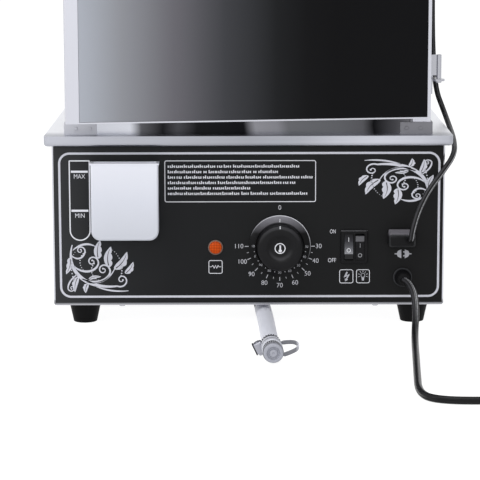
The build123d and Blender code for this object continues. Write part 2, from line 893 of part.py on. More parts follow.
def make_water_box():
    plane = facing((box_left + box_right) / 2, (box_bottom + box_top) / 2)
    width = box_right - box_left
    height = box_top - box_bottom
    body = extrude(plane * Rectangle(width, height), amount=box_reach)
    low = body.edges().filter_by(Axis.Y).group_by(Axis.Z)[0]
    body = fillet(low, box_corner_radius)
    front_low = body.faces().sort_by(Axis.Y)[0].edges().sort_by(Axis.Z)[:-1]
    body = fillet(front_low, box_wall)
    lip = block(
        box_left - box_lip, box_right + box_lip, -box_reach - box_lip, 0, box_top - box_lip_height, box_top
    )
    cavity = block(
        box_left + box_wall, box_right - box_wall, -box_reach + box_wall, -box_wall,
        box_bottom + box_wall, box_top,
    )
    cavity = fillet(cavity.edges().filter_by(Axis.Y).group_by(Axis.Z)[0], box_corner_radius - box_wall)
    port = facing(box_port_x, box_port_z)
    spigot = rod(port, port_radius, -port_reach, 0)
    bore = rod(port, port_bore_radius, -port_reach, box_wall)
    return body + lip + spigot - cavity - bore


def make_fill_hose():
    port = facing(box_port_x, box_port_z)
    start = wall_back + 2
    end = tank_front - 1
    outer = rod(port, port_radius + fill_hose_wall, -end, -start)
    return outer - rod(port, port_radius, -end, -start)


def make_corner_posts():
    posts = []
    for front, back in ((cabinet_front, 1), (cabinet_back, -1)):
        y0, y1 = sorted((front, front + back * post_leg))
        t0, t1 = sorted((front, front + back * post_sheet))
        across = block(cabinet_half - post_leg, cabinet_half, t0, t1, deck_z, cabinet_top)
        along = block(pane_outer, cabinet_half, y0, y1, deck_z, cabinet_top)
        posts += both_sides(across + along)
    return posts


def make_corner_brackets():
    brackets = []
    outer = cabinet_half + bracket_sheet
    for face, way in ((cabinet_front - bracket_sheet, 1), (cabinet_back + bracket_sheet, -1)):
        t0, t1 = sorted((face, face + way * bracket_sheet))
        y0, y1 = sorted((face, face + way * bracket_leg))
        across = block(outer - bracket_leg, outer, t0, t1, deck_z, bracket_top)
        along = block(cabinet_half, outer, y0, y1, deck_z, bracket_top)
        brackets += both_sides(across + along)
    return brackets


def make_bracket_rivets():
    """Domed rivets on the brackets, and the pin that the closing door rides over."""
    dome = turned(
        (0, 0), (rivet_radius, 0), (rivet_radius * 0.75, rivet_height * 0.75), (0, rivet_height)
    )
    rivets = []
    height = deck_z + bracket_height / 2
    outer = cabinet_half + bracket_sheet
    spots = (rivet_from_corner, rivet_from_corner + rivet_spacing)
    for face, way in ((cabinet_front - bracket_sheet, 1), (cabinet_back + bracket_sheet, -1)):
        for spot in spots:
            across = Plane(origin=(outer - spot, face, height), x_dir=(1, 0, 0), z_dir=(0, -way, 0))
            along = Plane(origin=(outer, face + way * spot, height), x_dir=(0, 1, 0), z_dir=(1, 0, 0))
            rivets += both_sides(across * dome) + both_sides(along * dome)
    pin_plane = upright(rest_pin_x, cabinet_front - rest_pin_radius, bracket_top)
    return rivets + [rod(pin_plane, rest_pin_radius, 0, rest_pin_height)]


def make_rails(z0, z1, flange_z):
    """Four angle rails between the posts, with flanges turned into the cabinet."""
    reach = cabinet_half - post_leg
    f0, f1 = flange_z, flange_z + rail_sheet
    rails = []
    for face, way in ((cabinet_front, 1), (cabinet_back, -1)):
        t0, t1 = sorted((face, face + way * rail_sheet))
        y0, y1 = sorted((face, face + way * (rail_sheet + rail_flange)))
        rails.append(block(-reach, reach, t0, t1, z0, z1) + block(-reach, reach, y0, y1, f0, f1))
    y0 = cabinet_front + post_leg
    y1 = cabinet_back - post_leg
    web = block(cabinet_half - rail_sheet, cabinet_half, y0, y1, z0, z1)
    flange = block(cabinet_half - rail_sheet - rail_flange, cabinet_half, y0, y1, f0, f1)
    return rails + both_sides(web + flange)


def make_lower_rails():
    return make_rails(deck_z, deck_z + lower_rail_height, deck_z)


def make_upper_rails():
    rails = make_rails(cabinet_top - upper_rail_height, cabinet_top, cabinet_top - rail_sheet)
    return [rail - cover_screw_holes(0) for rail in rails]


def make_side_glass():
    """The right pane: it stands on the lower rail's flange, against the posts."""
    y0 = cabinet_front + post_sheet + seat_gap
    y1 = cabinet_back - post_sheet - pane_sheet - seat_gap
    return block(pane_inner, pane_outer, y0, y1, pane_bottom, pane_top)


def make_back_glass():
    half = pane_outer - seat_gap
    y1 = cabinet_back - post_sheet
    return block(-half, half, y1 - pane_sheet, y1, pane_bottom, pane_top)


def shelf_levels():
    """The height of the top of each shelf's runners."""
    return [deck_z + first_shelf + number * shelf_pitch for number in range(shelf_count)]


def make_shelf_ladder():
    """The right ladder: two uprights with an angle runner for each shelf."""
    bars = [
        block(ladder_inner, ladder_outer, y, y + ladder_bar_width, pane_bottom, pane_top)
        for y in (ladder_front_y, ladder_back_y - ladder_bar_width)
    ]
    y0 = cabinet_front + post_leg + 2
    y1 = cabinet_back - post_leg - 2
    runners = []
    for level in shelf_levels():
        low = level - runner_sheet
        web = block(runner_inner, ladder_inner, y0, y1, low, low + runner_height)
        flange = block(runner_inner - runner_flange, ladder_inner, y0, y1, low, level)
        runners.append(web + flange)
    return bars[0] + bars[1] + runners


def make_shelf(level):
    """A wire shelf: a round-cornered frame with rods welded on top."""
    half = runner_inner - shelf_side_gap - shelf_frame_radius
    y0 = cabinet_front + shelf_front_gap + shelf_frame_radius
    y1 = cabinet_back - post_sheet - pane_sheet - shelf_back_gap - shelf_frame_radius
    frame_z = level + shelf_frame_radius
    loop = upright(0, (y0 + y1) / 2, frame_z) * RectangleRounded(2 * half, y1 - y0, shelf_corner_radius)
    shelf = swept_round(loop.face().outer_wire(), shelf_frame_radius)
    rod_z = frame_z + shelf_frame_radius + shelf_wire_radius - shelf_wire_weld
    pitch = 2 * half / (shelf_wire_count + 1)
    rods = []
    for number in range(1, shelf_wire_count + 1):
        line = Plane(origin=(-half + number * pitch, y0, rod_z), z_dir=(0, 1, 0))
        rods.append(rod(line, shelf_wire_radius, 0, y1 - y0))
    return shelf + rods


def make_ceiling_plate():
    half = pane_outer - ceiling_gap
    y0 = cabinet_front + ceiling_gap
    y1 = cabinet_back - ceiling_gap
    plate = block(-half, half, y0, y1, cabinet_top, cabinet_top + ceiling_sheet)
    middle = upright(0, (y0 + y1) / 2, cabinet_top)
    return plate - pill(middle, window_length, window_width, 4, 0, ceiling_sheet)


def ceiling_middle():
    """The y of the middle of the ceiling plate."""
    return (cabinet_front + cabinet_back) / 2


def make_lamp_cover():
    middle = upright(0, ceiling_middle(), cabinet_top + ceiling_sheet)
    return pill(middle, window_length + 2 * lens_border, window_width + 2 * lens_border, 6, 0, lens_sheet)


def make_lamp_holders():
    z0 = cabinet_top + ceiling_sheet + lens_sheet
    z1 = cabinet_top + tube_above_ceiling + tube_radius + 2
    centre = ceiling_middle()
    outer = tube_length / 2 + holder_width * 0.5
    holder = block(outer - holder_width, outer, centre - holder_depth / 2, centre + holder_depth / 2, z0, z1)
    return both_sides(holder - make_lamp_tube())


def make_lamp_tube():
    line = Plane(origin=(0, ceiling_middle(), cabinet_top + tube_above_ceiling), z_dir=(1, 0, 0))
    return rod(line, tube_radius, -tube_length / 2, tube_length / 2)


def cover_half():
    """Half the outer width of the top cover."""
    return cabinet_half + seat_gap + sheet


def make_top_cover():
    half = cover_half()
    y0 = cabinet_front - seat_gap - sheet
    y1 = cabinet_back + seat_gap + sheet
    outer = rounded_block(-half, half, y0, y1, cover_bottom, cover_top, cover_corner_radius)
    outer = fillet(outer.faces().sort_by(Axis.Z)[-1].edges(), cover_corner_radius - sheet)
    inside = block(
        -half + sheet, half - sheet, y0 + sheet, y1 - sheet, cover_bottom, cover_top - sheet
    )
    hole = Plane(origin=(half - sheet, boot_y, cover_bottom + boot_above_skirt), z_dir=(1, 0, 0))
    return outer - inside - rod(hole, boot_radius, 0, sheet) - cover_screw_holes(hole_gap)


def cover_screw_planes():
    """The seats of the screws through the right side of the cover's skirt."""
    z = cover_bottom + cover_skirt / 2
    spots = (cabinet_front + cover_screw_inset, cabinet_back - cover_screw_inset)
    return [Plane(origin=(cover_half(), y, z), x_dir=(0, 1, 0), z_dir=(1, 0, 0)) for y in spots]


def cover_screw_holes(grow):
    """Holes for the cover's screws, on both sides."""
    radius = cover_screw_shank_radius + grow
    holes = [rod(plane, radius, -cover_screw_shank, 0) for plane in cover_screw_planes()]
    return [piece for hole in holes for piece in both_sides(hole)]


def make_cover_screws():
    """Screws through the cover's skirt into the upper side rails."""
    screw = turned(
        (0, -cover_screw_shank), (cover_screw_shank_radius, -cover_screw_shank),
        (cover_screw_shank_radius, 0), (cover_screw_radius, 0),
        (cover_screw_radius * 0.7, cover_screw_height), (0, cover_screw_height),
    )
    return [piece for plane in cover_screw_planes() for piece in both_sides(plane * screw)]


def make_top_boot():
    """The elbow through which the light cord goes into the top cover."""
    half = cover_half()
    level = cover_bottom + boot_above_skirt
    path = FilletPolyline(
        (half - sheet, boot_y, level),
        (half + boot_reach, boot_y, level),
        (half + boot_reach, boot_y, level - boot_drop),
        radius=boot_bend,
    )
    elbow = swept_round(path, boot_radius)
    side = Plane(origin=(half, boot_y, level), z_dir=(1, 0, 0))
    mouth = upright(half + boot_reach, boot_y, level - boot_drop)
    return elbow + rod(side, boot_flange_radius, 0, boot_flange) - rod(mouth, light_radius, 0, 7)


def opened(piece):
    """A piece of the door, turned from closed to where the door rests ajar."""
    return piece.rotate(Axis((hinge_x, hinge_y, 0), (0, 0, 1)), door_ajar)


def make_door_frame():
    left, right = door_left, door_right
    slab = block(left, right, door_front, door_back, door_bottom, door_top)
    pocket_back = door_front + door_glass_inset + door_glass
    pocket = block(
        left + door_stile, right - door_edge, door_front, pocket_back,
        door_bottom + door_sill, door_top - door_edge,
    )
    window = block(
        left + door_stile + door_ledge - door_edge, right - door_ledge, door_front, door_back,
        door_bottom + door_ledge, door_top - door_ledge,
    )
    return slab - pocket - window


def make_door_glass():
    back = door_front + door_glass_inset + door_glass
    return block(
        door_left + door_stile + seat_gap, door_right - door_edge - seat_gap, back - door_glass, back,
        door_bottom + door_sill + seat_gap, door_top - door_edge - seat_gap,
    )


def make_door_seal():
    y1 = door_back + seal_thickness
    outer = block(
        door_left + seal_inset, door_right - seal_inset, door_back, y1,
        door_bottom + seal_inset, door_top - seal_inset,
    )
    inset = seal_inset + seal_width
    inner = block(
        door_left + inset, door_right - inset, door_back, y1, door_bottom + inset, door_top - inset
    )
    return outer - inner


def handle_middle_z():
    """The height of the middle of the door's handle."""
    return (door_bottom + door_top) / 2


def make_door_handle():
    low = handle_middle_z() - handle_span / 2
    high = handle_middle_z() + handle_span / 2
    grip_y = door_front - handle_reach
    path = FilletPolyline(
        (handle_x, door_front, low), (handle_x, grip_y, low), (handle_x, grip_y, high),
        (handle_x, door_front, high), radius=handle_bend,
    )
    roses = [rod(facing(handle_x, z, door_front), handle_rose_radius, 0, handle_rose) for z in (low, high)]
    return swept_round(path, handle_radius) + roses


def ear_levels():
    """The height of the underside of the lower and of the upper hinge's fixed ear."""
    lower = door_bottom + hinge_from_end - hinge_ear / 2
    return [lower, door_top - hinge_from_end - hinge_barrel_height]


def make_hinge_brackets():
    """The fixed half of each hinge: a plate on the post, an ear and the pin that it holds."""
    brackets = []
    plate_y = cabinet_front + hinge_plate_back
    for level in ear_levels():
        middle = level + hinge_ear / 2
        plate = block(
            cabinet_half, cabinet_half + hinge_sheet, plate_y, plate_y + hinge_plate_depth,
            middle - hinge_plate_height / 2, middle + hinge_plate_height / 2,
        )
        arm = make_face(Polyline(
            (cabinet_half, plate_y), (cabinet_half + hinge_sheet, plate_y),
            (hinge_x - hinge_ear_radius * 0.9, hinge_y + 2), (hinge_x, hinge_y),
            (hinge_x + hinge_ear_radius, hinge_y), (cabinet_half + hinge_sheet, plate_y + hinge_plate_depth),
            (cabinet_half, plate_y + hinge_plate_depth), close=True,
        ))
        ear = extrude(upright(0, 0, level) * arm, amount=hinge_ear)
        axis = upright(hinge_x, hinge_y, level)
        eye = rod(axis, hinge_ear_radius, 0, hinge_ear)
        pin = rod(axis, hinge_pin_radius, -hinge_pin_head, hinge_ear + hinge_barrel_height - 2)
        head = rod(axis, hinge_pin_head_radius, -hinge_pin_head, 0)
        brackets.append(plate + ear + eye + pin + head)
    return brackets


def make_hinge_leaves():
    """The door's half of each hinge: a leaf on the door's edge with a barrel over the pin."""
    leaves = []
    for level in ear_levels():
        start = level + hinge_ear + seat_gap
        axis = upright(hinge_x, hinge_y, start)
        barrel = rod(axis, hinge_barrel_radius, 0, hinge_barrel_height)
        top = start + hinge_barrel_height
        leaf = block(
            door_right, door_right + hinge_sheet, hinge_y - hinge_leaf_width / 2,
            hinge_y + hinge_leaf_width / 2, top - hinge_leaf_height, top,
        )
        web = block(
            door_right, hinge_x, hinge_y - hinge_sheet / 2, hinge_y + hinge_sheet / 2,
            top - hinge_leaf_height, top,
        )
        bore = rod(axis, hinge_pin_radius + slide_gap, 0, hinge_barrel_height)
        leaves.append(barrel + leaf + web - bore)
    return leaves


def hose_direction(start, end):
    """The direction from one point of the hose's route to another."""
    return (Vector(hose_route[end]) - Vector(hose_route[start])).normalized()


def make_drain_elbow():
    out = hose_direction(0, 1)
    mouth = Vector(hose_route[0])
    bend = mouth - out * ((mouth.Y - elbow_y) / out.Y)
    pipe = upright(elbow_x, elbow_y, 0)
    tall = tank_floor_z - spout_length
    rise = rod(pipe, elbow_pipe_radius, bend.Z, tall)
    socket = rod(pipe, elbow_socket_radius, tall - 3, tall + elbow_socket_height)
    dome = upright(elbow_x, elbow_y, foot_height) * Sphere(elbow_dome_radius)
    below = block(
        elbow_x - 2 * elbow_dome_radius, elbow_x + 2 * elbow_dome_radius,
        elbow_y - 2 * elbow_dome_radius, elbow_y + 2 * elbow_dome_radius, 0, foot_height,
    )
    dome = dome & below
    leg = Plane(origin=bend, z_dir=out)
    run = (mouth - bend).length
    knuckle = Plane(origin=bend) * Sphere(hose_radius - 0.3)
    body = rise + socket + dome + knuckle
    body = body + rod(leg, hose_radius - 0.3, 0, run) + rod(leg, hose_bore_radius, run, run + barb_length)
    bores = [
        rod(pipe, elbow_bore_radius, bend.Z, tall),
        rod(pipe, spout_radius, tall, tall + elbow_socket_height),
        rod(leg, elbow_bore_radius, 0, run + barb_length),
    ]
    return body - bores


def hose_end():
    """The plane across the hose's free end, with Z on along the hose."""
    return Plane(origin=hose_route[-1], x_dir=(1, 0, 0), z_dir=hose_direction(-2, -1))


def make_hose_clamp():
    plane = hose_end()
    band_radius = hose_radius + clamp_band
    band = rod(plane, band_radius, -clamp_width - 1, -1) - rod(plane, hose_radius, -clamp_width - 1, -1)
    middle = -clamp_width / 2 - 1
    across = band_radius + clamp_house_depth / 2 - 0.4
    house = plane * Pos(-across, 0, middle) * Box(clamp_house_depth, clamp_house_height, clamp_house_width)
    line = plane * Pos(-across, 0, middle) * Rotation(90, 0, 0)
    screw = line * Cylinder(clamp_screw_radius, clamp_screw_length)
    return band + house + screw


def make_drain_nozzle():
    ring_start = nozzle_collar + nozzle_groove
    ring_end = ring_start + nozzle_ring
    nozzle = turned(
        (elbow_bore_radius, -barb_length), (hose_bore_radius, -barb_length), (hose_bore_radius, 0),
        (nozzle_collar_radius, 0), (nozzle_collar_radius, nozzle_collar),
        (nozzle_groove_radius, nozzle_collar), (nozzle_groove_radius, ring_start),
        (nozzle_collar_radius, ring_start), (nozzle_collar_radius, ring_end - 1),
        (nozzle_collar_radius - 1, ring_end), (nozzle_neck_radius, ring_end),
        (nozzle_neck_radius, ring_end + nozzle_neck), (elbow_bore_radius, ring_end + nozzle_neck),
    )
    return hose_end() * nozzle


def cap_start():
    """How far the cap's skirt starts from the end of the hose."""
    return nozzle_collar + nozzle_groove + nozzle_ring + seat_gap


def make_drain_cap():
    start = cap_start()
    grip_end = start + cap_grip
    groove_end = grip_end + cap_groove
    end = groove_end + cap_disc
    inner = nozzle_neck_radius + slide_gap
    cap = turned(
        (inner, start), (cap_radius, start), (cap_radius, grip_end), (cap_groove_radius, grip_end),
        (cap_groove_radius, groove_end), (cap_radius, groove_end), (cap_radius, end - 1),
        (cap_radius - 1, end), (cap_recess_radius, end), (cap_recess_radius - 0.6, end - cap_recess),
        (cap_button_radius, end - cap_recess), (cap_button_radius - 0.5, end - 0.2), (0, end - 0.2),
        (0, grip_end), (inner, grip_end),
    )
    grooves = [
        Rotation(0, 0, 360 * number / cap_ribs) * Pos(cap_radius, 0, (start + grip_end) / 2)
        * Cylinder(cap_rib_radius, cap_grip)
        for number in range(cap_ribs)
    ]
    return hose_end() * (cap - grooves)


def make_cap_strap():
    """A flat strap from a ring in the nozzle's groove to a ring in the cap's groove."""
    plane = hose_end()
    near = nozzle_collar + nozzle_groove / 2
    far = cap_start() + cap_grip + cap_groove / 2
    rings = []
    for middle, inner in ((near, nozzle_groove_radius), (far, cap_groove_radius)):
        width = nozzle_groove - 2 * seat_gap
        inner_radius = inner + seat_gap
        outer_radius = inner_radius + strap_thickness
        ring = rod(plane, outer_radius, middle - width / 2, middle + width / 2)
        rings.append(ring - rod(plane, inner_radius, middle - width / 2, middle + width / 2))
    bend = (far - near) / 2
    start = nozzle_groove_radius + seat_gap + strap_thickness / 2
    out = start + strap_reach
    loop = FilletPolyline((start, near), (out, near), (out, far), (start, far), radius=bend - 0.1)
    band = trace(loop, strap_thickness)
    flat = Plane(origin=plane.origin, x_dir=plane.x_dir, z_dir=plane.y_dir.reverse())
    strip = extrude(flat * band, amount=strap_width / 2, both=True)
    return strip + rings


def coil_place(turn):
    """A point of the coil's centre line, and its heading, after a number of turns."""
    middle = coil_turns / 2
    step = 2 * mains_radius + coil_turn_gap
    lift = 2 * mains_radius + coil_layer_gap
    angle = -pi / 2 + 2 * pi * turn
    away = turn - middle
    radius = coil_radius - step * (middle - abs(away))
    outward = 0.0 if abs(away) < 1e-9 else step * (1 if away > 0 else -1) / (2 * pi)
    share = min(max((away + 0.25) / 0.5, 0.0), 1.0)
    height = mains_route[-1][2] + lift * (1 - cos(pi * share)) / 2
    climb = lift * pi * sin(pi * share) / 2 / 0.5 / (2 * pi)
    place = Vector(
        coil_centre[0] + radius * cos(angle), coil_centre[1] + radius * sin(angle), height
    )
    heading = Vector(
        outward * cos(angle) - radius * sin(angle), outward * sin(angle) + radius * cos(angle), climb
    )
    return place, heading.normalized()


def biarc(start, heading, end, end_heading):
    """Two arcs that join two places, tangent to both headings."""
    gap = end - start
    both = heading + end_heading
    spread = 2 * (1 - heading.dot(end_heading))
    pull = gap.dot(both)
    reach = (sqrt(pull**2 + spread * gap.dot(gap)) - pull) / spread
    joint = (start + end + (heading - end_heading) * reach) * 0.5
    first = TangentArc(start, joint, tangent=heading)
    return [first, TangentArc(joint, end, tangent=first % 1)]


def coil_least_gap(step_count):
    """The smallest gap between the coil's turns, on points along its centre line."""
    points = [coil_place(coil_turns * number / step_count)[0] for number in range(step_count + 1)]
    near = ceil(step_count / coil_turns / 2)
    least = min(
        (points[later] - points[number]).length
        for number in range(0, step_count, 2)
        for later in range(number + near, step_count + 1)
    )
    return least - 2 * mains_radius


def make_mains_coil():
    """The put-away part of the mains cord: one unbroken tube in two layers of turns."""
    quarters = round(4 * coil_turns)
    places = [coil_place(coil_turns * number / quarters) for number in range(quarters + 1)]
    places.append((Vector(coil_tail), Vector(0, 1, 0)))
    arcs = []
    for (start, heading), (end, end_heading) in zip(places, places[1:]):
        arcs += biarc(start, arcs[-1] % 1 if arcs else heading, end, end_heading)
    path = Wire(arcs)
    coil = swept_round(path, mains_radius)
    share = coil.volume / (pi * mains_radius**2 * path.length)
    print("mains coil length", round(path.length, 1), "least gap", round(coil_least_gap(300), 2))
    print("mains coil volume share", round(share, 4))
    return coil


def make_mains_plug():
    """A flat two-pin plug that lies on the table at the end of the coil."""
    plane = Plane(origin=coil_tail, x_dir=(1, 0, 0), z_dir=(0, 1, 0))
    neck = plane * turned(
        (0, 0), (mains_radius + 0.8, 0), (mains_plug_neck_radius, mains_plug_neck), (0, mains_plug_neck)
    )
    end_offset = mains_plug_neck + mains_plug_length
    narrow = RectangleRounded(mains_plug_width * 0.62, mains_plug_height * 0.8, 4)
    start = plane.offset(mains_plug_neck) * narrow
    end = plane.offset(end_offset) * RectangleRounded(mains_plug_width, mains_plug_height, 5)
    body = loft([start.face(), end.face()])
    pins = []
    for side in (-1, 1):
        pin = plane * Pos(side * mains_pin_spacing / 2, 0, end_offset + mains_pin_length / 2)
        pins.append(pin * Cylinder(mains_pin_radius, mains_pin_length))
    return body + neck + pins


def origin_shift():
    """How far to move along Y, to put the origin midway between handle and back edge."""
    turn = radians(door_ajar)
    across = handle_x - hinge_x
    ahead = door_front - handle_reach - hinge_y
    front = hinge_y + across * sin(turn) + ahead * cos(turn) - handle_radius
    back = base_depth + rim_overhang
    return -(front + back) / 2


def pieces():
    """Every piece of the steamer under its name."""
    power_x, light_x = rocker_centres()
    right_pane = make_side_glass()
    named = {
        "base_body": make_base_body(),
        "base_floor": make_base_floor(),
        "base_screws": make_base_screws(),
        "feet": make_feet(),
        "front_panel": make_front_panel(),
        "deck_tray": make_deck_tray(),
        "water_tank": make_water_tank(),
        "steam_plate": make_steam_plate(),
        "heating_element": make_heating_element(),
        "thermal_cutout": make_thermal_cutout(),
        "thermostat_body": make_thermostat_body(),
        "thermostat_bulb": make_thermostat_bulb(),
        "thermostat_shaft": make_thermostat_shaft(),
        "thermostat_knob": make_thermostat_knob(),
        "indicator_bezel": make_indicator_bezel(),
        "indicator_lens": make_indicator_lens(),
        "switch_housing": make_switch_housing(),
        "power_rocker": make_rocker(power_x, -rocker_tilt),
        "light_rocker": make_rocker(light_x, rocker_tilt),
        "light_outlet": make_light_outlet(),
        "light_plug": make_light_plug(),
        "light_cord": flexible("light cord", light_route, light_radius),
        "cord_gland": make_cord_gland(),
        "mains_cord": flexible("mains cord", mains_route, mains_radius),
        "mains_coil": make_mains_coil(),
        "mains_plug": make_mains_plug(),
        "water_box": make_water_box(),
        "fill_hose": make_fill_hose(),
        "drain_elbow": make_drain_elbow(),
        "drain_hose": flexible("drain hose", hose_route, hose_radius, hose_bore_radius),
        "hose_clamp": make_hose_clamp(),
        "drain_nozzle": make_drain_nozzle(),
        "drain_cap": make_drain_cap(),
        "cap_strap": make_cap_strap(),
        "corner_posts": make_corner_posts(),
        "corner_brackets": make_corner_brackets(),
        "bracket_rivets": make_bracket_rivets(),
        "lower_rails": make_lower_rails(),
        "upper_rails": make_upper_rails(),
        "left_glass": mirror(right_pane, about=Plane.YZ),
        "right_glass": right_pane,
        "back_glass": make_back_glass(),
        "shelf_ladders": both_sides(make_shelf_ladder()),
        "ceiling_plate": make_ceiling_plate(),
        "lamp_cover": make_lamp_cover(),
        "lamp_holders": make_lamp_holders(),
        "lamp_tube": make_lamp_tube(),
        "top_cover": make_top_cover(),
        "cover_screws": make_cover_screws(),
        "top_boot": make_top_boot(),
        "hinge_brackets": make_hinge_brackets(),
    }
    for number, level in enumerate(shelf_levels(), start=1):
        named[f"shelf_{number}"] = make_shelf(level)
    door = {
        "door_frame": make_door_frame(),
        "door_glass": make_door_glass(),
        "door_seal": make_door_seal(),
        "door_handle": make_door_handle(),
    }
    for name, piece in door.items():
        named[name] = opened(piece)
    named["hinge_leaves"] = [opened(leaf) for leaf in make_hinge_leaves()]
    return named


os.makedirs("parts", exist_ok=True)
shift = Pos(0, origin_shift(), 0)
print("origin shift", round(origin_shift(), 4))
print("hinge", round(hinge_x, 3), round(hinge_y + origin_shift(), 3))
for name, piece in pieces().items():
    solids = piece if isinstance(piece, list) else piece.solids()
    whole = Compound([shift * solid for part in solids for solid in part.solids()])
    export_step(whole, f"parts/{name}.step")
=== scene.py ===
"""Looks, studio and camera for the dumpling steamer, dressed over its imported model."""

import json
import logging
import math
from dataclasses import dataclass
from enum import Enum
from typing import Any, Callable, Sequence, Union

import bmesh
import bpy
from mathutils import Matrix, Vector

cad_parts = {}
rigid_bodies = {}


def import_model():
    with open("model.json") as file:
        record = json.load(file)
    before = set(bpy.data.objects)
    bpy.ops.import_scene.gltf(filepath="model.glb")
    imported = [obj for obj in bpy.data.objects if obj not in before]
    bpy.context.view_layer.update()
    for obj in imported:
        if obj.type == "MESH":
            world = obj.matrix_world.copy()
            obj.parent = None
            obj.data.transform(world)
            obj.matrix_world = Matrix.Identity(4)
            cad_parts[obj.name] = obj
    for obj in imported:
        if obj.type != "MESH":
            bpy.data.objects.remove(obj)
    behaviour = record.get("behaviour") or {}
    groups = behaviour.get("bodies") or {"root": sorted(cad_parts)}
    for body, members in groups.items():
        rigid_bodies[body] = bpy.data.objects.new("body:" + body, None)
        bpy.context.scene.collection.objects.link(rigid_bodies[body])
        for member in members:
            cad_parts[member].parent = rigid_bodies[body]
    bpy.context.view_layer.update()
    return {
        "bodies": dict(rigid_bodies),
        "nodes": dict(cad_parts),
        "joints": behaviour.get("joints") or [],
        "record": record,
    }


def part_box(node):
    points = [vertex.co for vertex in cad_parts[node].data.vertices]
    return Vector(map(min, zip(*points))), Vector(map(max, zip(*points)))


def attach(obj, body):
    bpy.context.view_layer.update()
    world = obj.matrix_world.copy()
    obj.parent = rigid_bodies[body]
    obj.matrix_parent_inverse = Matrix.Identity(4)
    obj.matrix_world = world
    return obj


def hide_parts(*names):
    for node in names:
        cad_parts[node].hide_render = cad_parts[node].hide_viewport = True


MM = 0.001
LOG = logging.getLogger("steamer")

Colour = tuple[float, float, float]
Pair = tuple[float, float]
Triple = tuple[float, float, float]
Box = tuple[float, float, float, float]
Line = list[tuple[Pair, float]]
Stops = tuple[tuple[float, Colour], ...]
Rings = tuple[Pair, ...]
Piece = bpy.types.Object
Material = bpy.types.Material
Socket = bpy.types.NodeSocket

FRONT: Triple = (0.0, -1.0, 0.0)
ORIGIN: Triple = (0.0, 0.0, 0.0)


class Body(Enum):
    """The bodies that new pieces ride on."""

    STEAMER = "steamer"
    DIAL = "thermostat_dial"
    POWER = "power_rocker"
    LIGHT = "light_rocker"
    CAP = "drain_cap"


class Grain(Enum):
    """The way the brushing runs, as the pattern's scale along X, Y and Z."""

    ACROSS = (5.0, 900.0, 900.0)
    UPRIGHT = (900.0, 900.0, 5.0)
    LEVEL = (5.0, 5.0, 900.0)


class Ink(Enum):
    """Where a print's front lies, in millimetres behind the panel's face, so below zero."""

    LINE = -0.10
    FILL = -0.14
    DETAIL = -0.18


def srgb(red: float, green: float, blue: float) -> Colour:
    """Turn a colour of 0 to 255 a channel into shader values."""
    shares = (channel / 255 for channel in (red, green, blue))
    return tuple(share / 12.92 if share <= 0.04045 else ((share + 0.055) / 1.055) ** 2.4 for share in shares)


def tones(*rows: Box) -> Stops:
    """Return a ramp's stops from rows of a place and its red, green and blue of 0 to 255."""
    return tuple((row[0], srgb(row[1], row[2], row[3])) for row in rows)


def toned(colour: Colour, share: float) -> Colour:
    """Return a colour made darker or lighter by a share."""
    return tuple(min(channel * share, 1.0) for channel in colour)


Number = Union[int, float, "Link"]


def operator(operation: str, flipped: bool = False) -> Callable[["Link", Number], "Link"]:
    """Return a method that does sums on numbers in a shader.

    Args:
        operation: Blender's name of the operation.
        flipped: whether the other number comes first.

    Returns:
        The method.
    """

    def add_node(link: "Link", other: Number) -> "Link":
        """Add the Math node and return its result."""
        return link.sum(operation, *((other, link) if flipped else (link, other)))

    return add_node


class Link:
    """A number in a shader that Python's operators can work on."""

    __add__ = operator("ADD")
    __radd__ = operator("ADD", True)
    __sub__ = operator("SUBTRACT")
    __rsub__ = operator("SUBTRACT", True)
    __mul__ = operator("MULTIPLY")
    __rmul__ = operator("MULTIPLY", True)
    __truediv__ = operator("DIVIDE")

    def __init__(self, shader: "Shader", socket: Socket) -> None:
        """Keep the shader and the socket that carries the number."""
        self.shader = shader
        self.socket = socket

    def sum(self, operation: str, *numbers: Number, held: bool = False) -> "Link":
        """Return the result of one Math node, held between 0 and 1 where that is asked."""
        settings = {"operation": operation, "use_clamp": held}
        node = self.shader.node("ShaderNodeMath", settings, dict(enumerate(numbers)))
        return Link(self.shader, node.outputs[0])

    def held(self) -> "Link":
        """Return self held between 0 and 1."""
        return self.sum("ADD", self, 0.0, held=True)

    def size(self) -> "Link":
        """Return self without its sign."""
        return self.sum("ABSOLUTE", self)

    def turn(self, other: Number) -> "Link":
        """Return the angle of the point (other, self) in radians."""
        return self.sum("ARCTAN2", self, other)

    def sine(self) -> "Link":
        """Return the sine of self."""
        return self.sum("SINE", self)

    def root(self) -> "Link":
        """Return the square root of self."""
        return self.sum("SQRT", self)


def belt(away: Link, inner: Pair, outer: Pair) -> Link:
    """Return 1 between two distances; each has its place and how wide its soft edge is."""
    return ((away - inner[0]) / inner[1]).held() * ((outer[0] - away) / outer[1]).held()


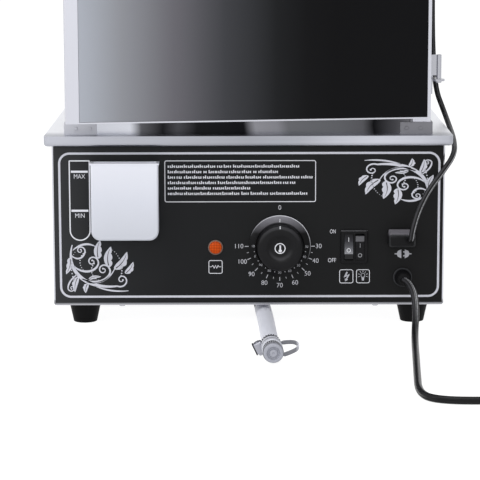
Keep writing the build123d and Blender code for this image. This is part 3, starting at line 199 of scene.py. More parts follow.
class Shader:
    """The nodes of a material or of the world, built one at a time."""

    def __init__(self, holder: bpy.types.ID, kind: str) -> None:
        """Empty the holder's node tree and give it an output of this kind."""
        self.holder = holder
        self.holder.use_nodes = True
        self.tree = self.holder.node_tree
        self.tree.nodes.clear()
        self.output = self.node(kind)

    @classmethod
    def of_material(cls, name: str) -> "Shader":
        """Start a new material of this name."""
        return cls(bpy.data.materials.new(name), "ShaderNodeOutputMaterial")

    def node(
        self, kind: str, settings: dict[str, Any] | None = None, inputs: dict[Any, Any] | None = None
    ) -> bpy.types.Node:
        """Add a node.

        Args:
            kind: the node's type.
            settings: its properties; "stops" gives a colour ramp's stops.
            inputs: values or links of its sockets, by name or number.

        Returns:
            The new node.
        """
        made = self.tree.nodes.new(kind)
        for key, setting in (settings or {}).items():
            if key == "stops":
                self._stops(made.color_ramp, setting)
            else:
                setattr(made, key, setting)
        for key, value in (inputs or {}).items():
            if isinstance(value, Link):
                self.tree.links.new(value.socket, made.inputs[key])
            elif isinstance(value, Socket):
                self.tree.links.new(value, made.inputs[key])
            elif isinstance(value, tuple) and made.inputs[key].type == "RGBA" and len(value) == 3:
                made.inputs[key].default_value = (*value, 1.0)
            else:
                made.inputs[key].default_value = value
        return made

    @staticmethod
    def _stops(ramp: bpy.types.ColorRamp, stops: Stops) -> None:
        """Give a colour ramp its stops.

        Args:
            ramp: the ramp.
            stops: places from 0 to 1 with their colours.
        """
        while len(ramp.elements) > 1:
            ramp.elements.remove(ramp.elements[-1])
        ramp.elements[0].position = stops[0][0]
        ramp.elements[0].color = (*stops[0][1], 1.0)
        for place, colour in stops[1:]:
            ramp.elements.new(place).color = (*colour, 1.0)

    def places(self) -> Socket:
        """Return the piece's own coordinates."""
        return self.node("ShaderNodeTexCoord").outputs["Object"]

    def mapped(self, scale: Triple) -> Socket:
        """Return the piece's coordinates, scaled."""
        inputs = {"Vector": self.places(), "Scale": scale}
        return self.node("ShaderNodeMapping", None, inputs).outputs["Vector"]

    def axes(self, vector: Socket | None = None) -> tuple[Link, Link, Link]:
        """Return a vector's three numbers, or the piece's x, y and z in metres."""
        split = self.node("ShaderNodeSeparateXYZ", None, {"Vector": vector or self.places()})
        return (Link(self, split.outputs[0]), Link(self, split.outputs[1]), Link(self, split.outputs[2]))

    def share(self, axis: int, span: Pair) -> Link:
        """Return how far along a span in millimetres a place lies: 0 at its start, 1 at its end."""
        return (self.axes()[axis] - span[0] * MM) / ((span[1] - span[0]) * MM)

    def round(self, middle: Pair) -> tuple[Link, Link, Link]:
        """Return how far a place lies right of a middle, above it, and away from it.

        Args:
            middle: the middle's x and z in millimetres.

        Returns:
            The three distances in millimetres.
        """
        x, _, z = self.axes()
        across = x / MM - middle[0]
        up = z / MM - middle[1]
        return (across, up, (across * across + up * up).root())

    def noise(self, vector: Any, scale: float, detail: float = 2.0, roughness: float = 0.5) -> Link:
        """Return a noise of 0 to 1."""
        inputs = {"Vector": vector, "Scale": scale, "Detail": detail, "Roughness": roughness}
        return Link(self, self.node("ShaderNodeTexNoise", None, inputs).outputs[0])

    def ramp(self, factor: Number, stops: Stops) -> Socket:
        """Return the colour that a ramp gives a number."""
        return self.node("ShaderNodeValToRGB", {"stops": stops}, {0: factor}).outputs["Color"]

    def mix(self, factor: Number, first: Any, second: Any, blend: str = "MIX") -> Socket:
        """Return a colour made of two colours."""
        settings = {"data_type": "RGBA", "blend_type": blend}
        return self.node("ShaderNodeMix", settings, {0: factor, 6: first, 7: second}).outputs[2]

    def bump(self, height: Link, depth: float, strength: float = 1.0) -> Socket:
        """Return the normal of a surface with this height, whose depth is in metres."""
        inputs = {"Height": height, "Distance": depth, "Strength": strength}
        return self.node("ShaderNodeBump", None, inputs).outputs["Normal"]

    def seen(self) -> Link:
        """Return 1 for a ray that comes from the camera, a mirror or a glass, and 0 for the rest."""
        path = self.node("ShaderNodeLightPath").outputs
        kinds = [Link(self, path[f"Is {kind} Ray"]) for kind in ("Camera", "Glossy", "Transmission")]
        return (kinds[0] + kinds[1] + kinds[2]).held()

    def finish(self, **sockets: Any) -> Material:
        """Close the material with one Principled shader.

        Args:
            sockets: its inputs, with _ for a space.

        Returns:
            The finished material.
        """
        inputs = {key.replace("_", " "): value for key, value in sockets.items()}
        surface = self.node("ShaderNodeBsdfPrincipled", None, inputs)
        self.tree.links.new(surface.outputs[0], self.output.inputs["Surface"])
        return self.holder


@dataclass(frozen=True)
class BrushedSteel:
    """Stainless sheet with a fine straight grain and faint handling marks.

    Painted shading, of shade and reflection, darkens it along one axis, over a span in millimetres.
    Where a highlight start is given, as a distance behind the front and a height in millimetres, a
    painted highlight turns it pale past both, over the highlight's reach, as on a rim's top.
    """

    name: str
    grain: Grain = Grain.ACROSS
    tone: Colour = srgb(196, 198, 208)
    roughness: float = 0.34
    contrast: float = 0.12
    axis: int = 0
    span: Pair = (-182.0, 182.0)
    painted_shading: tuple[Pair, ...] = ()
    highlight_from: Pair | None = None
    highlight_reach: Pair = (24.0, 0.3)
    highlight_tone: Colour = srgb(238, 239, 244)

    def make(self) -> Material:
        """Return the material."""
        shader = Shader.of_material(self.name)
        lines = shader.noise(shader.mapped(self.grain.value), 1.0, 4.0, 0.6)
        cloud = shader.noise(shader.places(), 9.0, 3.0)
        dark, light = toned(self.tone, 1 - self.contrast), toned(self.tone, 1 + self.contrast)
        colour = shader.mix((lines * 0.8 + cloud * 0.2).held(), dark, light)
        # Painted shading: a ramp of shade and reflection multiplied into the colour along one axis.
        if self.painted_shading:
            stops = tuple((place, (share, share, share)) for place, share in self.painted_shading)
            painted_shade_veil = shader.ramp(shader.share(self.axis, self.span).held(), stops)
            colour = shader.mix(1.0, colour, painted_shade_veil, "MULTIPLY")
        # Painted highlight: the colour turns pale behind and above a given place, where a rim's top catches
        # light.
        if self.highlight_from:
            _, y, z = shader.axes()
            back, high = (
                ((place / MM - start) / reach).held()
                for place, start, reach in zip((y, z), self.highlight_from, self.highlight_reach)
            )
            colour = shader.mix(back * high, colour, self.highlight_tone)
        return shader.finish(
            Base_Color=colour, Metallic=1.0, Normal=shader.bump(lines, 0.00002, 0.5),
            Roughness=self.roughness + (lines - 0.5) * 0.14 + (cloud - 0.5) * 0.1,
        )


@dataclass(frozen=True)
class PolishedSteel:
    """Bright metal with faint smears."""

    name: str
    tone: Colour = srgb(214, 215, 222)
    roughness: float = 0.1
    smears: Triple = (20.0, 20.0, 60.0)

    def make(self) -> Material:
        """Return the material."""
        shader = Shader.of_material(self.name)
        smear = shader.noise(shader.mapped(self.smears), 1.0, 4.0, 0.6)
        return shader.finish(
            Base_Color=shader.mix(smear, toned(self.tone, 0.9), self.tone), Metallic=1.0,
            Roughness=self.roughness + (smear - 0.5) * 0.08,
        )


@dataclass(frozen=True)
class MirrorRail:
    """A polished rail with a painted reflection along it, broken up by its uneven surface."""

    name: str
    span: Pair = (-170.5, 170.5)
    swirls: Triple = (16.0, 30.0, 70.0)
    rail_painted_reflection: Stops = tones(
        (0.0, 150, 150, 156), (0.085, 190, 192, 200), (0.18, 200, 202, 210), (0.21, 84, 84, 88),
        (0.27, 28, 28, 30), (0.31, 66, 66, 70), (0.36, 26, 26, 28), (0.49, 20, 20, 22),
        (0.52, 130, 130, 136), (0.58, 122, 122, 128), (0.61, 96, 97, 101), (0.75, 88, 89, 93),
        (0.81, 80, 80, 84), (0.84, 16, 16, 18), (0.9, 64, 64, 68), (0.93, 92, 92, 96),
        (1.0, 144, 144, 150),
    )

    def make(self) -> Material:
        """Return the material."""
        shader = Shader.of_material(self.name)
        swirl = shader.noise(shader.mapped(self.swirls), 1.0, 2.0, 0.4)
        # Painted reflection: the ramp along the rail stands for what it mirrors.
        place = (shader.share(0, self.span) + (swirl - 0.5) * 0.025).held()
        return shader.finish(
            Base_Color=shader.ramp(place, self.rail_painted_reflection), Metallic=1.0, Roughness=0.16 + swirl * 0.1,
            Normal=shader.bump(swirl, 0.0006, 0.35),
        )


@dataclass(frozen=True)
class Moulding:
    """Moulded plastic or rubber with a fine texture, whose depth is in metres."""

    name: str
    colour: Colour
    roughness: float = 0.45
    specular: float = 0.4
    texture: float = 0.00003
    texture_scale: float = 900.0
    variation: float = 0.08

    def make(self) -> Material:
        """Return the material."""
        shader = Shader.of_material(self.name)
        fine = shader.noise(shader.places(), self.texture_scale)
        broad = shader.noise(shader.places(), 14.0, 3.0)
        dark, light = toned(self.colour, 1 - self.variation), toned(self.colour, 1 + self.variation)
        return shader.finish(
            Base_Color=shader.mix(broad, dark, light), Specular_IOR_Level=self.specular,
            Roughness=(self.roughness + (broad - 0.5) * 0.12 + (fine - 0.5) * 0.06).held(),
            Normal=shader.bump(fine, self.texture),
        )


@dataclass(frozen=True)
class PaintedShadingSurface:
    """Plastic or metal with painted light and shade: its tone changes along one axis, over a span in
    millimetres.
    """

    name: str
    axis: int
    span: Pair
    stops: Stops
    roughness: float = 0.4
    specular: float = 0.35
    metallic: float = 0.0
    texture_scale: float = 900.0
    texture: float = 0.00002
    waver: float = 0.0

    def make(self) -> Material:
        """Return the material."""
        shader = Shader.of_material(self.name)
        fine = shader.noise(shader.places(), self.texture_scale)
        broad = shader.noise(shader.places(), 18.0, 3.0)
        # Painted light and shade: the colour ramp runs along one axis.
        place = (shader.share(self.axis, self.span) + (broad - 0.5) * self.waver).held()
        return shader.finish(
            Base_Color=shader.ramp(place, self.stops), Metallic=self.metallic,
            Roughness=(self.roughness + (fine - 0.5) * 0.08 + (broad - 0.5) * 0.06).held(),
            Specular_IOR_Level=self.specular, Normal=shader.bump(fine, self.texture),
        )


@dataclass(frozen=True)
class KnurledGrip:
    """Plastic with painted shade in its grooves, which run along its axis, evenly spaced all round it."""

    name: str
    centre: Vector
    towards: Vector
    count: int = 30
    groove: Colour = srgb(58, 58, 62)
    ridge: Colour = srgb(170, 171, 178)

    def make(self) -> Material:
        """Return the material."""
        shader = Shader.of_material(self.name)
        side = self.towards.cross(Vector((0.0, 0.0, 1.0))).normalized()
        up = side.cross(self.towards).normalized()
        x, y, z = shader.axes()
        x, y, z = x - self.centre.x, y - self.centre.y, z - self.centre.z
        across, rise = (x * line.x + y * line.y + z * line.z for line in (side, up))
        # Painted shade: a wave round the axis darkens the grooves between the ridges.
        wave = ((rise.turn(across) * self.count).sine() * 1.4 + 0.5).held()
        fine = shader.noise(shader.places(), 800.0)
        return shader.finish(
            Base_Color=shader.mix(wave, self.groove, self.ridge), Roughness=0.5 + (fine - 0.5) * 0.08,
            Specular_IOR_Level=0.2, Normal=shader.bump(fine, 0.00003),
        )


@dataclass(frozen=True)
class PrintedPanel:
    """The black lacquered front, with a painted sheen that makes it a little paler towards its left."""

    name: str
    span: Pair = (-180.0, 180.0)
    painted_shading: Stops = tones(
        (0.0, 50, 51, 53), (0.1, 36, 37, 39), (0.3, 23, 24, 26), (0.6, 20, 21, 22), (1.0, 19, 19, 20)
    )

    def make(self) -> Material:
        """Return the material."""
        shader = Shader.of_material(self.name)
        fine = shader.noise(shader.places(), 1400.0, 2.0, 0.6)
        broad = shader.noise(shader.places(), 7.0, 3.0)
        # Painted sheen: the ramp lightens the panel towards its left.
        place = (shader.share(0, self.span) + (broad - 0.5) * 0.1).held()
        return shader.finish(
            Base_Color=shader.ramp(place, self.painted_shading), Roughness=0.5 + (fine - 0.5) * 0.12,
            Specular_IOR_Level=0.12, Normal=shader.bump(fine, 0.00002, 0.6),
        )


@dataclass(frozen=True)
class PrintInk:
    """Pale screen-printed ink."""

    name: str
    colour: Colour = srgb(214, 215, 222)

    def make(self) -> Material:
        """Return the material."""
        shader = Shader.of_material(self.name)
        fine = shader.noise(shader.places(), 2200.0, 2.0, 0.6)
        return shader.finish(
            Base_Color=shader.mix(fine, toned(self.colour, 0.88), self.colour),
            Roughness=0.5 + (fine - 0.5) * 0.2, Specular_IOR_Level=0.3,
        )


@dataclass(frozen=True)
class DarkGlassPaintedReflection:
    """Dark glass with a painted reflection, pale at the handle's side and fading to dark towards the hinges.
    """

    name: str
    span: Pair = (-158.0, 158.0)
    streaks: Triple = (30.0, 30.0, 1.2)
    glass_painted_reflection: Stops = tones(
        (0.0, 171, 175, 184), (0.04, 164, 168, 177), (0.14, 139, 141, 147), (0.285, 101, 100, 106),
        (0.43, 62, 63, 67), (0.58, 29, 30, 32), (0.67, 17, 17, 19), (0.75, 13, 13, 15), (1.0, 13, 13, 15),
    )

    def make(self) -> Material:
        """Return the material."""
        shader = Shader.of_material(self.name)
        streak = shader.noise(shader.mapped(self.streaks), 1.0, 2.0, 0.4)
        # Painted reflection: the ramp runs from pale at the handle's side to dark at the hinges.
        place = (shader.share(0, self.span) + (streak - 0.5) * 0.02).held()
        return shader.finish(
            Base_Color=shader.ramp(place, self.glass_painted_reflection), Roughness=0.08 + streak * 0.04, Specular_IOR_Level=0.06
        )


@dataclass(frozen=True)
class ClearGlass:
    """Clear sheet glass, faintly green, with a few dull marks."""

    name: str
    tint: Colour = srgb(226, 238, 236)
    alpha: float = 0.16

    def make(self) -> Material:
        """Return the material."""
        shader = Shader.of_material(self.name)
        marks = shader.noise(shader.places(), 16.0, 4.0, 0.6)
        return shader.finish(
            Base_Color=self.tint, Roughness=0.03 + marks * 0.06, Specular_IOR_Level=0.6,
            Alpha=self.alpha + (marks - 0.5) * 0.05,
        )


@dataclass(frozen=True)
class LampLens:
    """Orange lens with a fine prism pattern, whose pitch is in radians a metre; the pattern's dark and bright
    dots are painted glints of its facets.
    """

    name: str
    pitch: float = 2100.0
    dark: Colour = srgb(72, 14, 0)
    bright: Colour = srgb(236, 90, 8)

    def make(self) -> Material:
        """Return the material."""
        shader = Shader.of_material(self.name)
        x, _, z = shader.axes()
        # Painted glints: the prism pattern alternates dark and bright dots in the colour, as its facets catch
        # light.
        hatch = ((x + z) * self.pitch).sine() * ((x - z) * self.pitch).sine()
        shade = (hatch * 0.5 + 0.5).held()
        broad = shader.noise(shader.places(), 260.0)
        colour = shader.mix((shade * 0.8 + broad * 0.2).held(), self.dark, self.bright)
        return shader.finish(
            Base_Color=colour, Roughness=0.34, Specular_IOR_Level=0.1, Coat_Weight=0.05, Coat_Roughness=0.1,
            Emission_Color=colour, Emission_Strength=0.06, Normal=shader.bump(shade, 0.0002, 0.6),
        )


@dataclass(frozen=True)
class CordSheath:
    """Black cord sheath with a groove on two sides and painted highlights that stand for the lamps' long
    gleams.

    The painted highlights lie at shares of the way round. They fade below fade, a height and a reach in
    millimetres, as painted shade under the base.
    """

    name: str
    wide: float
    thin: float
    colour: Colour = srgb(17, 17, 18)
    gleam: Colour = srgb(60, 60, 63)
    spark: Colour = srgb(214, 215, 220)
    wide_half: float = 0.09
    thin_half: float = 0.032
    echo: Triple = (0.07, 0.02, 0.6)
    fade: Pair = (14.0, 16.0)
    faded: float = 0.15

    @staticmethod
    def stripe(way: Link, at: float, half: float) -> Link:
        """Return a stripe along the cord that is 1 in its middle and 0 past its half width."""
        return (1.0 - (way - at).size() / half).held()

    def make(self) -> Material:
        """Return the material."""
        shader = Shader.of_material(self.name)
        fine = shader.noise(shader.places(), 700.0, 3.0)
        broad = shader.noise(shader.places(), 30.0)
        way = shader.axes(shader.node("ShaderNodeTexCoord").outputs["UV"])[1]
        height = shader.axes()[2] / MM
        groove = self.stripe((way * 2 * math.pi).sine(), 0.0, 0.35)
        # Painted shade: below a height the painted highlights dim, as under the base.
        lit = ((height - self.fade[0]) / self.fade[1]).held() * (1 - self.faded) + self.faded
        # Painted highlights: a wide gleam, a thin bright line and its faint echo along the cord.
        wide = self.stripe(way, self.wide, self.wide_half) * lit
        echo = self.stripe(way, self.thin + self.echo[0], self.echo[1]) * self.echo[2]
        thin = self.stripe(way, self.thin, self.thin_half) + echo
        thin = (thin * (0.7 + 1.6 * (fine - 0.5)) * lit).held()
        tone = shader.mix(broad, self.colour, toned(self.colour, 1.5))
        tone = shader.mix(wide, tone, self.gleam)
        return shader.finish(
            Base_Color=shader.mix(thin, tone, self.spark), Roughness=0.3 + (fine - 0.5) * 0.15,
            Specular_IOR_Level=0.12, Normal=shader.bump(fine * 0.1 - groove, 0.0006),
        )


@dataclass(frozen=True)
class DialGrip:
    """Black moulding with a painted highlight on the lower edge of its dish and a faint one at its brow.

    Each edge has where it starts and ends, with the reach of each, in millimetres from the middle.
    """

    name: str
    middle: Pair
    dish: tuple[Pair, Pair] = ((7.6, 1.6), (11.6, 1.2))
    brow: tuple[Pair, Pair] = ((17.2, 1.4), (21.2, 1.0))
    dish_full: float = -10.5
    brow_full: float = 18.0

    def make(self) -> Material:
        """Return the material."""
        shader = Shader.of_material(self.name)
        _, up, away = shader.round(self.middle)
        # Painted highlights: a pale crescent on the dish's lower edge and a faint band at the brow.
        dish = belt(away, *self.dish) * (up / self.dish_full)
        brow = belt(away, *self.brow) * (up / self.brow_full - 0.25)
        fine = shader.noise(shader.places(), 1200.0)
        face = shader.mix(dish.held(), srgb(19, 19, 21), srgb(52, 52, 55))
        return shader.finish(
            Base_Color=shader.mix(brow.held(), face, srgb(54, 54, 57)), Roughness=0.42 + (fine - 0.5) * 0.1,
            Specular_IOR_Level=0.14, Normal=shader.bump(fine, 0.00002),
        )


@dataclass(frozen=True)
class DialSkirt:
    """Black moulding with a painted sheen on its upper part and a paler painted highlight on its upper rim.
    """

    name: str
    middle: Pair
    radius: float = 28.7
    rim: Pair = (28.1, 0.2)

    def make(self) -> Material:
        """Return the material."""
        shader = Shader.of_material(self.name)
        across, up, away = shader.round(self.middle)
        fine = shader.noise(shader.places(), 900.0)
        # Painted light: the upper part gets a pale sheen and the upper rim a paler highlight, as if lit from
        # above.
        lit = ((across * 0.4 + up * 0.9) / self.radius + 0.1).held()
        rim = ((away - self.rim[0]) / self.rim[1]).held() * lit
        lift = ((up / self.radius - 0.42).held() * 1.7 * (0.8 + 0.4 * fine)).held()
        body = shader.mix(lift, srgb(12, 12, 14), srgb(128, 127, 134))
        return shader.finish(
            Base_Color=shader.mix(rim, body, srgb(206, 207, 214)), Roughness=0.34 + (fine - 0.5) * 0.1,
            Specular_IOR_Level=0.1, Normal=shader.bump(fine, 0.00002),
        )


@dataclass(frozen=True)
class Studio:
    """Pale floor, soft lamps and the camera.

    The panel's face lies at panel_y metres, and the target is in millimetres from there. A lamp has
    its place, the point that it faces and its size in metres, and its power in watts.
    """

    panel_y: float
    target: Triple = (-7.963, 0.0, 80.126)
    distance: float = 2000.0
    pitch: float = 9.561
    roll: float = -0.143
    pixels_per_radian: float = 2152.0
    frame_pixels: float = 480.0
    sensor: float = 36.0
    floor_size: float = 60.0
    floor_place: Triple = (0.0, 20.0, -0.0002)
    floor_glow: float = 0.93
    air: float = 0.65
    lights: tuple[tuple[str, Triple, Triple, Pair, float], ...] = (
        ("top_light", (-0.3, -0.9, 2.3), (0.0, -0.1, 0.2), (1.6, 1.0), 18.0),
        ("left_light", (-2.2, -1.2, 1.2), (0.0, 0.0, 0.25), (1.2, 1.6), 14.0),
        ("front_light", (-0.2, -2.9, 1.1), (0.0, 0.0, 0.2), (2.6, 1.4), 15.0),
    )

    def world(self) -> None:
        """Make a white surrounding, which is dimmer as a lamp than it looks."""
        world = bpy.data.worlds.new("studio_air")
        bpy.context.scene.world = world
        shader = Shader(world, "ShaderNodeOutputWorld")
        level = shader.seen() * (1 - self.air) + self.air
        air = shader.node("ShaderNodeBackground", None, {"Color": (1.0, 1.0, 1.0), "Strength": level})
        shader.tree.links.new(air.outputs[0], shader.output.inputs["Surface"])

    def floor(self) -> None:
        """Make the pale floor, which keeps the object's soft shadow."""
        bpy.ops.mesh.primitive_plane_add(size=self.floor_size, location=self.floor_place)
        floor = bpy.context.active_object
        floor.name = "studio_floor"
        shader = Shader.of_material("floor_white")
        colour = shader.mix(shader.noise(shader.places(), 40.0), (0.86, 0.86, 0.865), (0.88, 0.88, 0.885))
        matte = shader.node("ShaderNodeBsdfDiffuse", None, {"Color": colour})
        faint = shader.node("ShaderNodeBsdfDiffuse", None, {"Color": (0.22, 0.22, 0.222)})
        white = {"Color": (1.0, 1.0, 1.0), "Strength": self.floor_glow}
        glow = shader.node("ShaderNodeEmission", None, white)
        both = shader.node("ShaderNodeAddShader", None, {0: faint.outputs[0], 1: glow.outputs[0]})
        ways = {0: shader.seen(), 1: matte.outputs[0], 2: both.outputs[0]}
        mixed = shader.node("ShaderNodeMixShader", None, ways)
        shader.tree.links.new(mixed.outputs[0], shader.output.inputs["Surface"])
        floor.data.materials.append(shader.holder)

    def lamps(self) -> None:
        """Hang the soft lamps."""
        for name, place, aim, size, watts in self.lights:
            data = bpy.data.lights.new(name, "AREA")
            data.shape = "RECTANGLE"
            data.size, data.size_y = size
            data.energy = watts
            lamp = bpy.data.objects.new(name, data)
            bpy.context.collection.objects.link(lamp)
            lamp.location = place
            lamp.rotation_euler = (Vector(aim) - Vector(place)).to_track_quat("-Z", "Y").to_euler()

    def camera(self) -> None:
        """Place the camera at the photograph's view."""
        pitch = math.radians(self.pitch)
        roll = math.radians(self.roll)
        ahead = Vector((0.0, math.cos(pitch), -math.sin(pitch)))
        side = Vector((1.0, 0.0, 0.0))
        up = side.cross(ahead)
        right = side * math.cos(roll) + up * math.sin(roll)
        above = up * math.cos(roll) - side * math.sin(roll)
        target = Vector(self.target) * MM + Vector((0.0, self.panel_y, 0.0))
        eye = target - ahead * self.distance * MM
        data = bpy.data.cameras.new("studio_camera")
        data.sensor_width = self.sensor
        data.lens = self.pixels_per_radian / self.frame_pixels * self.sensor
        data.clip_end = 100.0
        camera = bpy.data.objects.new("studio_camera", data)
        bpy.context.collection.objects.link(camera)
        turn = Matrix((right, above, -ahead)).transposed()
        camera.matrix_world = Matrix.Translation(eye) @ turn.to_4x4()
        bpy.context.scene.camera = camera

    def build(self) -> None:
        """Build the whole studio."""
        self.world()
        self.floor()
        self.lamps()
        self.camera()
        bpy.context.scene.view_settings.view_transform = "Standard"


@dataclass
class Workshop:
    """What every sub-assembly is built with: the frame, the places and the finishes."""

    frame: dict[str, Any]
    panel_y: float

    def __post_init__(self) -> None:
        """Start with no finish made."""
        self.finishes: dict[str, Material] = {}

    def at(self, x: float, behind: float, z: float) -> Vector:
        """Return a place in metres from millimetres: across, behind the panel's face, and up."""
        return Vector((x * MM, self.panel_y + behind * MM, z * MM))

    def node(self, name: str) -> Piece:
        """Return a carried-over node."""
        return self.frame["nodes"][name]

    def material(self, finish: Any) -> Material:
        """Return a finish's material, made once."""
        if finish.name not in self.finishes:
            self.finishes[finish.name] = finish.make()
        return self.finishes[finish.name]

    def dress(self, finish: Any, *nodes: str) -> None:
        """Give carried-over nodes a finish, by their names."""
        for name in nodes:
            for place in self.node(name).material_slots:
                place.material = self.material(finish)
        LOG.info("dressed %s with %s", ", ".join(nodes), finish.name)


def only(piece: Piece) -> None:
    """Select one piece and nothing else."""
    bpy.ops.object.select_all(action="DESELECT")
    piece.select_set(True)
    bpy.context.view_layer.objects.active = piece


def only_none() -> None:
    """Leave nothing selected."""
    if bpy.context.mode != "OBJECT":
        bpy.ops.object.mode_set(mode="OBJECT")
    bpy.ops.object.select_all(action="DESELECT")


def settle(piece: Piece) -> Piece:
    """Move a piece's place, turn and size into its mesh."""
    only(piece)
    bpy.ops.object.transform_apply(location=True, rotation=True, scale=True)
    return piece


def placed(piece: Piece, turn: Triple, place: Vector) -> Piece:
    """Turn a piece that was made at the origin, put it in its place and settle it."""
    piece.rotation_euler, piece.location = turn, place
    return settle(piece)


def smooth(piece: Piece) -> Piece:
    """Shade a piece smooth but for its sharp edges."""
    only(piece)
    bpy.ops.object.shade_smooth_by_angle(angle=math.radians(35.0))
    return piece


def modified(piece: Piece, kind: str, **settings: Any) -> Piece:
    """Give a piece a modifier and apply it.

    Args:
        piece: the piece.
        kind: the modifier's type.
        settings: its properties.

    Returns:
        The same piece.
    """
    only(piece)
    modifier = piece.modifiers.new(kind, kind)
    for key, setting in settings.items():
        setattr(modifier, key, setting)
    bpy.ops.object.modifier_apply(modifier=modifier.name)
    return piece


def facing(towards: Triple | Vector) -> Triple:
    """Return the turn that points a piece's Z at a direction."""
    turn = Vector(towards).to_track_quat("Z", "Y").to_euler()
    return (turn.x, turn.y, turn.z)


def grown(
    name: str, place: Vector, towards: Triple | Vector, rings: Rings, sides: int = 96
) -> Piece:
    """Grow a round piece ring by ring from a disc.

    Args:
        name: the piece's name.
        place: the middle of its back, in metres.
        towards: the direction it grows in.
        rings: radius and height of each ring in millimetres, from the back on.
        sides: how many sides a ring has.

    Returns:
        The piece, settled and shaded.
    """
    only_none()
    radius, height = rings[0]
    bpy.ops.mesh.primitive_circle_add(vertices=sides, radius=radius * MM, fill_type="NGON")
    piece = bpy.context.active_object
    piece.name = name
    bpy.ops.object.mode_set(mode="EDIT")
    bpy.ops.mesh.select_all(action="SELECT")
    bpy.ops.transform.translate(value=(0.0, 0.0, height * MM))
    for next_radius, next_height in rings[1:]:
        move = {"value": (0.0, 0.0, (next_height - height) * MM)}
        bpy.ops.mesh.extrude_region_move(TRANSFORM_OT_translate=move)
        share = next_radius / radius
        bpy.ops.transform.resize(value=(share, share, 1.0))
        radius, height = next_radius, next_height
    bpy.ops.mesh.select_all(action="SELECT")
    bpy.ops.mesh.normals_make_consistent(inside=False)
    bpy.ops.object.mode_set(mode="OBJECT")
    return smooth(placed(piece, facing(towards), place))


def slab(name: str, middle: Vector, size: Triple, round_by: float, segments: int = 4) -> Piece:
    """Make a box with rounded edges.

    Args:
        name: the piece's name.
        middle: its middle, in metres.
        size: its size in millimetres.
        round_by: the radius of its edges in millimetres.
        segments: how many faces round an edge has.

    Returns:
        The piece, settled and shaded.
    """
    only_none()
    bpy.ops.mesh.primitive_cube_add(size=1.0, location=middle, scale=tuple(side * MM for side in size))
    piece = settle(bpy.context.active_object)
    piece.name = name
    bpy.ops.object.mode_set(mode="EDIT")
    bpy.ops.mesh.select_all(action="SELECT")
    bpy.ops.mesh.bevel(offset=round_by * MM, segments=segments, affect="EDGES", profile=0.5)
    bpy.ops.object.mode_set(mode="OBJECT")
    return smooth(piece)


def hoop(radius: float, width: float, wall: float, sides: int) -> Piece:
    """Make a thin open band round the Z axis, with its middle at the origin.

    Args:
        radius: its inner radius in millimetres.
        width: how wide the band is, in millimetres.
        wall: how thick it is, in millimetres.
        sides: how many sides it has.

    Returns:
        The band, still unshaded.
    """
    only_none()
    bpy.ops.mesh.primitive_cylinder_add(
        vertices=sides, radius=radius * MM, depth=width * MM, end_fill_type="NOTHING"
    )
    return modified(bpy.context.active_object, "SOLIDIFY", thickness=wall * MM, offset=1.0)


def meshed(name: str, shape: bmesh.types.BMesh) -> Piece:
    """Make a piece of a finished shape.

    Args:
        name: the piece's name.
        shape: the shape, which is freed.

    Returns:
        The piece.
    """
    mesh = bpy.data.meshes.new(name)
    shape.to_mesh(mesh)
    shape.free()
    piece = bpy.data.objects.new(name, mesh)
    bpy.context.collection.objects.link(piece)
    return piece


def bridge(shape: bmesh.types.BMesh, pairs: Sequence[tuple[Any, Any]], closed: bool = False) -> None:
    """Fill the faces between pairs of vertices that follow one another.

    Args:
        shape: the shape that the vertices are in.
        pairs: the low and the high vertex of each pair.
        closed: whether the last pair is joined to the first.
    """
    steps = list(zip(pairs, pairs[1:])) + ([(pairs[-1], pairs[0])] if closed else [])
    for (low, high), (next_low, next_high) in steps:
        shape.faces.new((low, next_low, next_high, high))


def joined(name: str, pieces: Sequence[Piece]) -> Piece:
    """Join pieces into one.

    Args:
        name: the name of the whole.
        pieces: two or more pieces.

    Returns:
        The whole.
    """
    bpy.ops.object.select_all(action="DESELECT")
    for piece in pieces:
        piece.select_set(True)
    bpy.context.view_layer.objects.active = pieces[0]
    bpy.ops.object.join()
    whole = bpy.context.active_object
    whole.name = name
    return whole


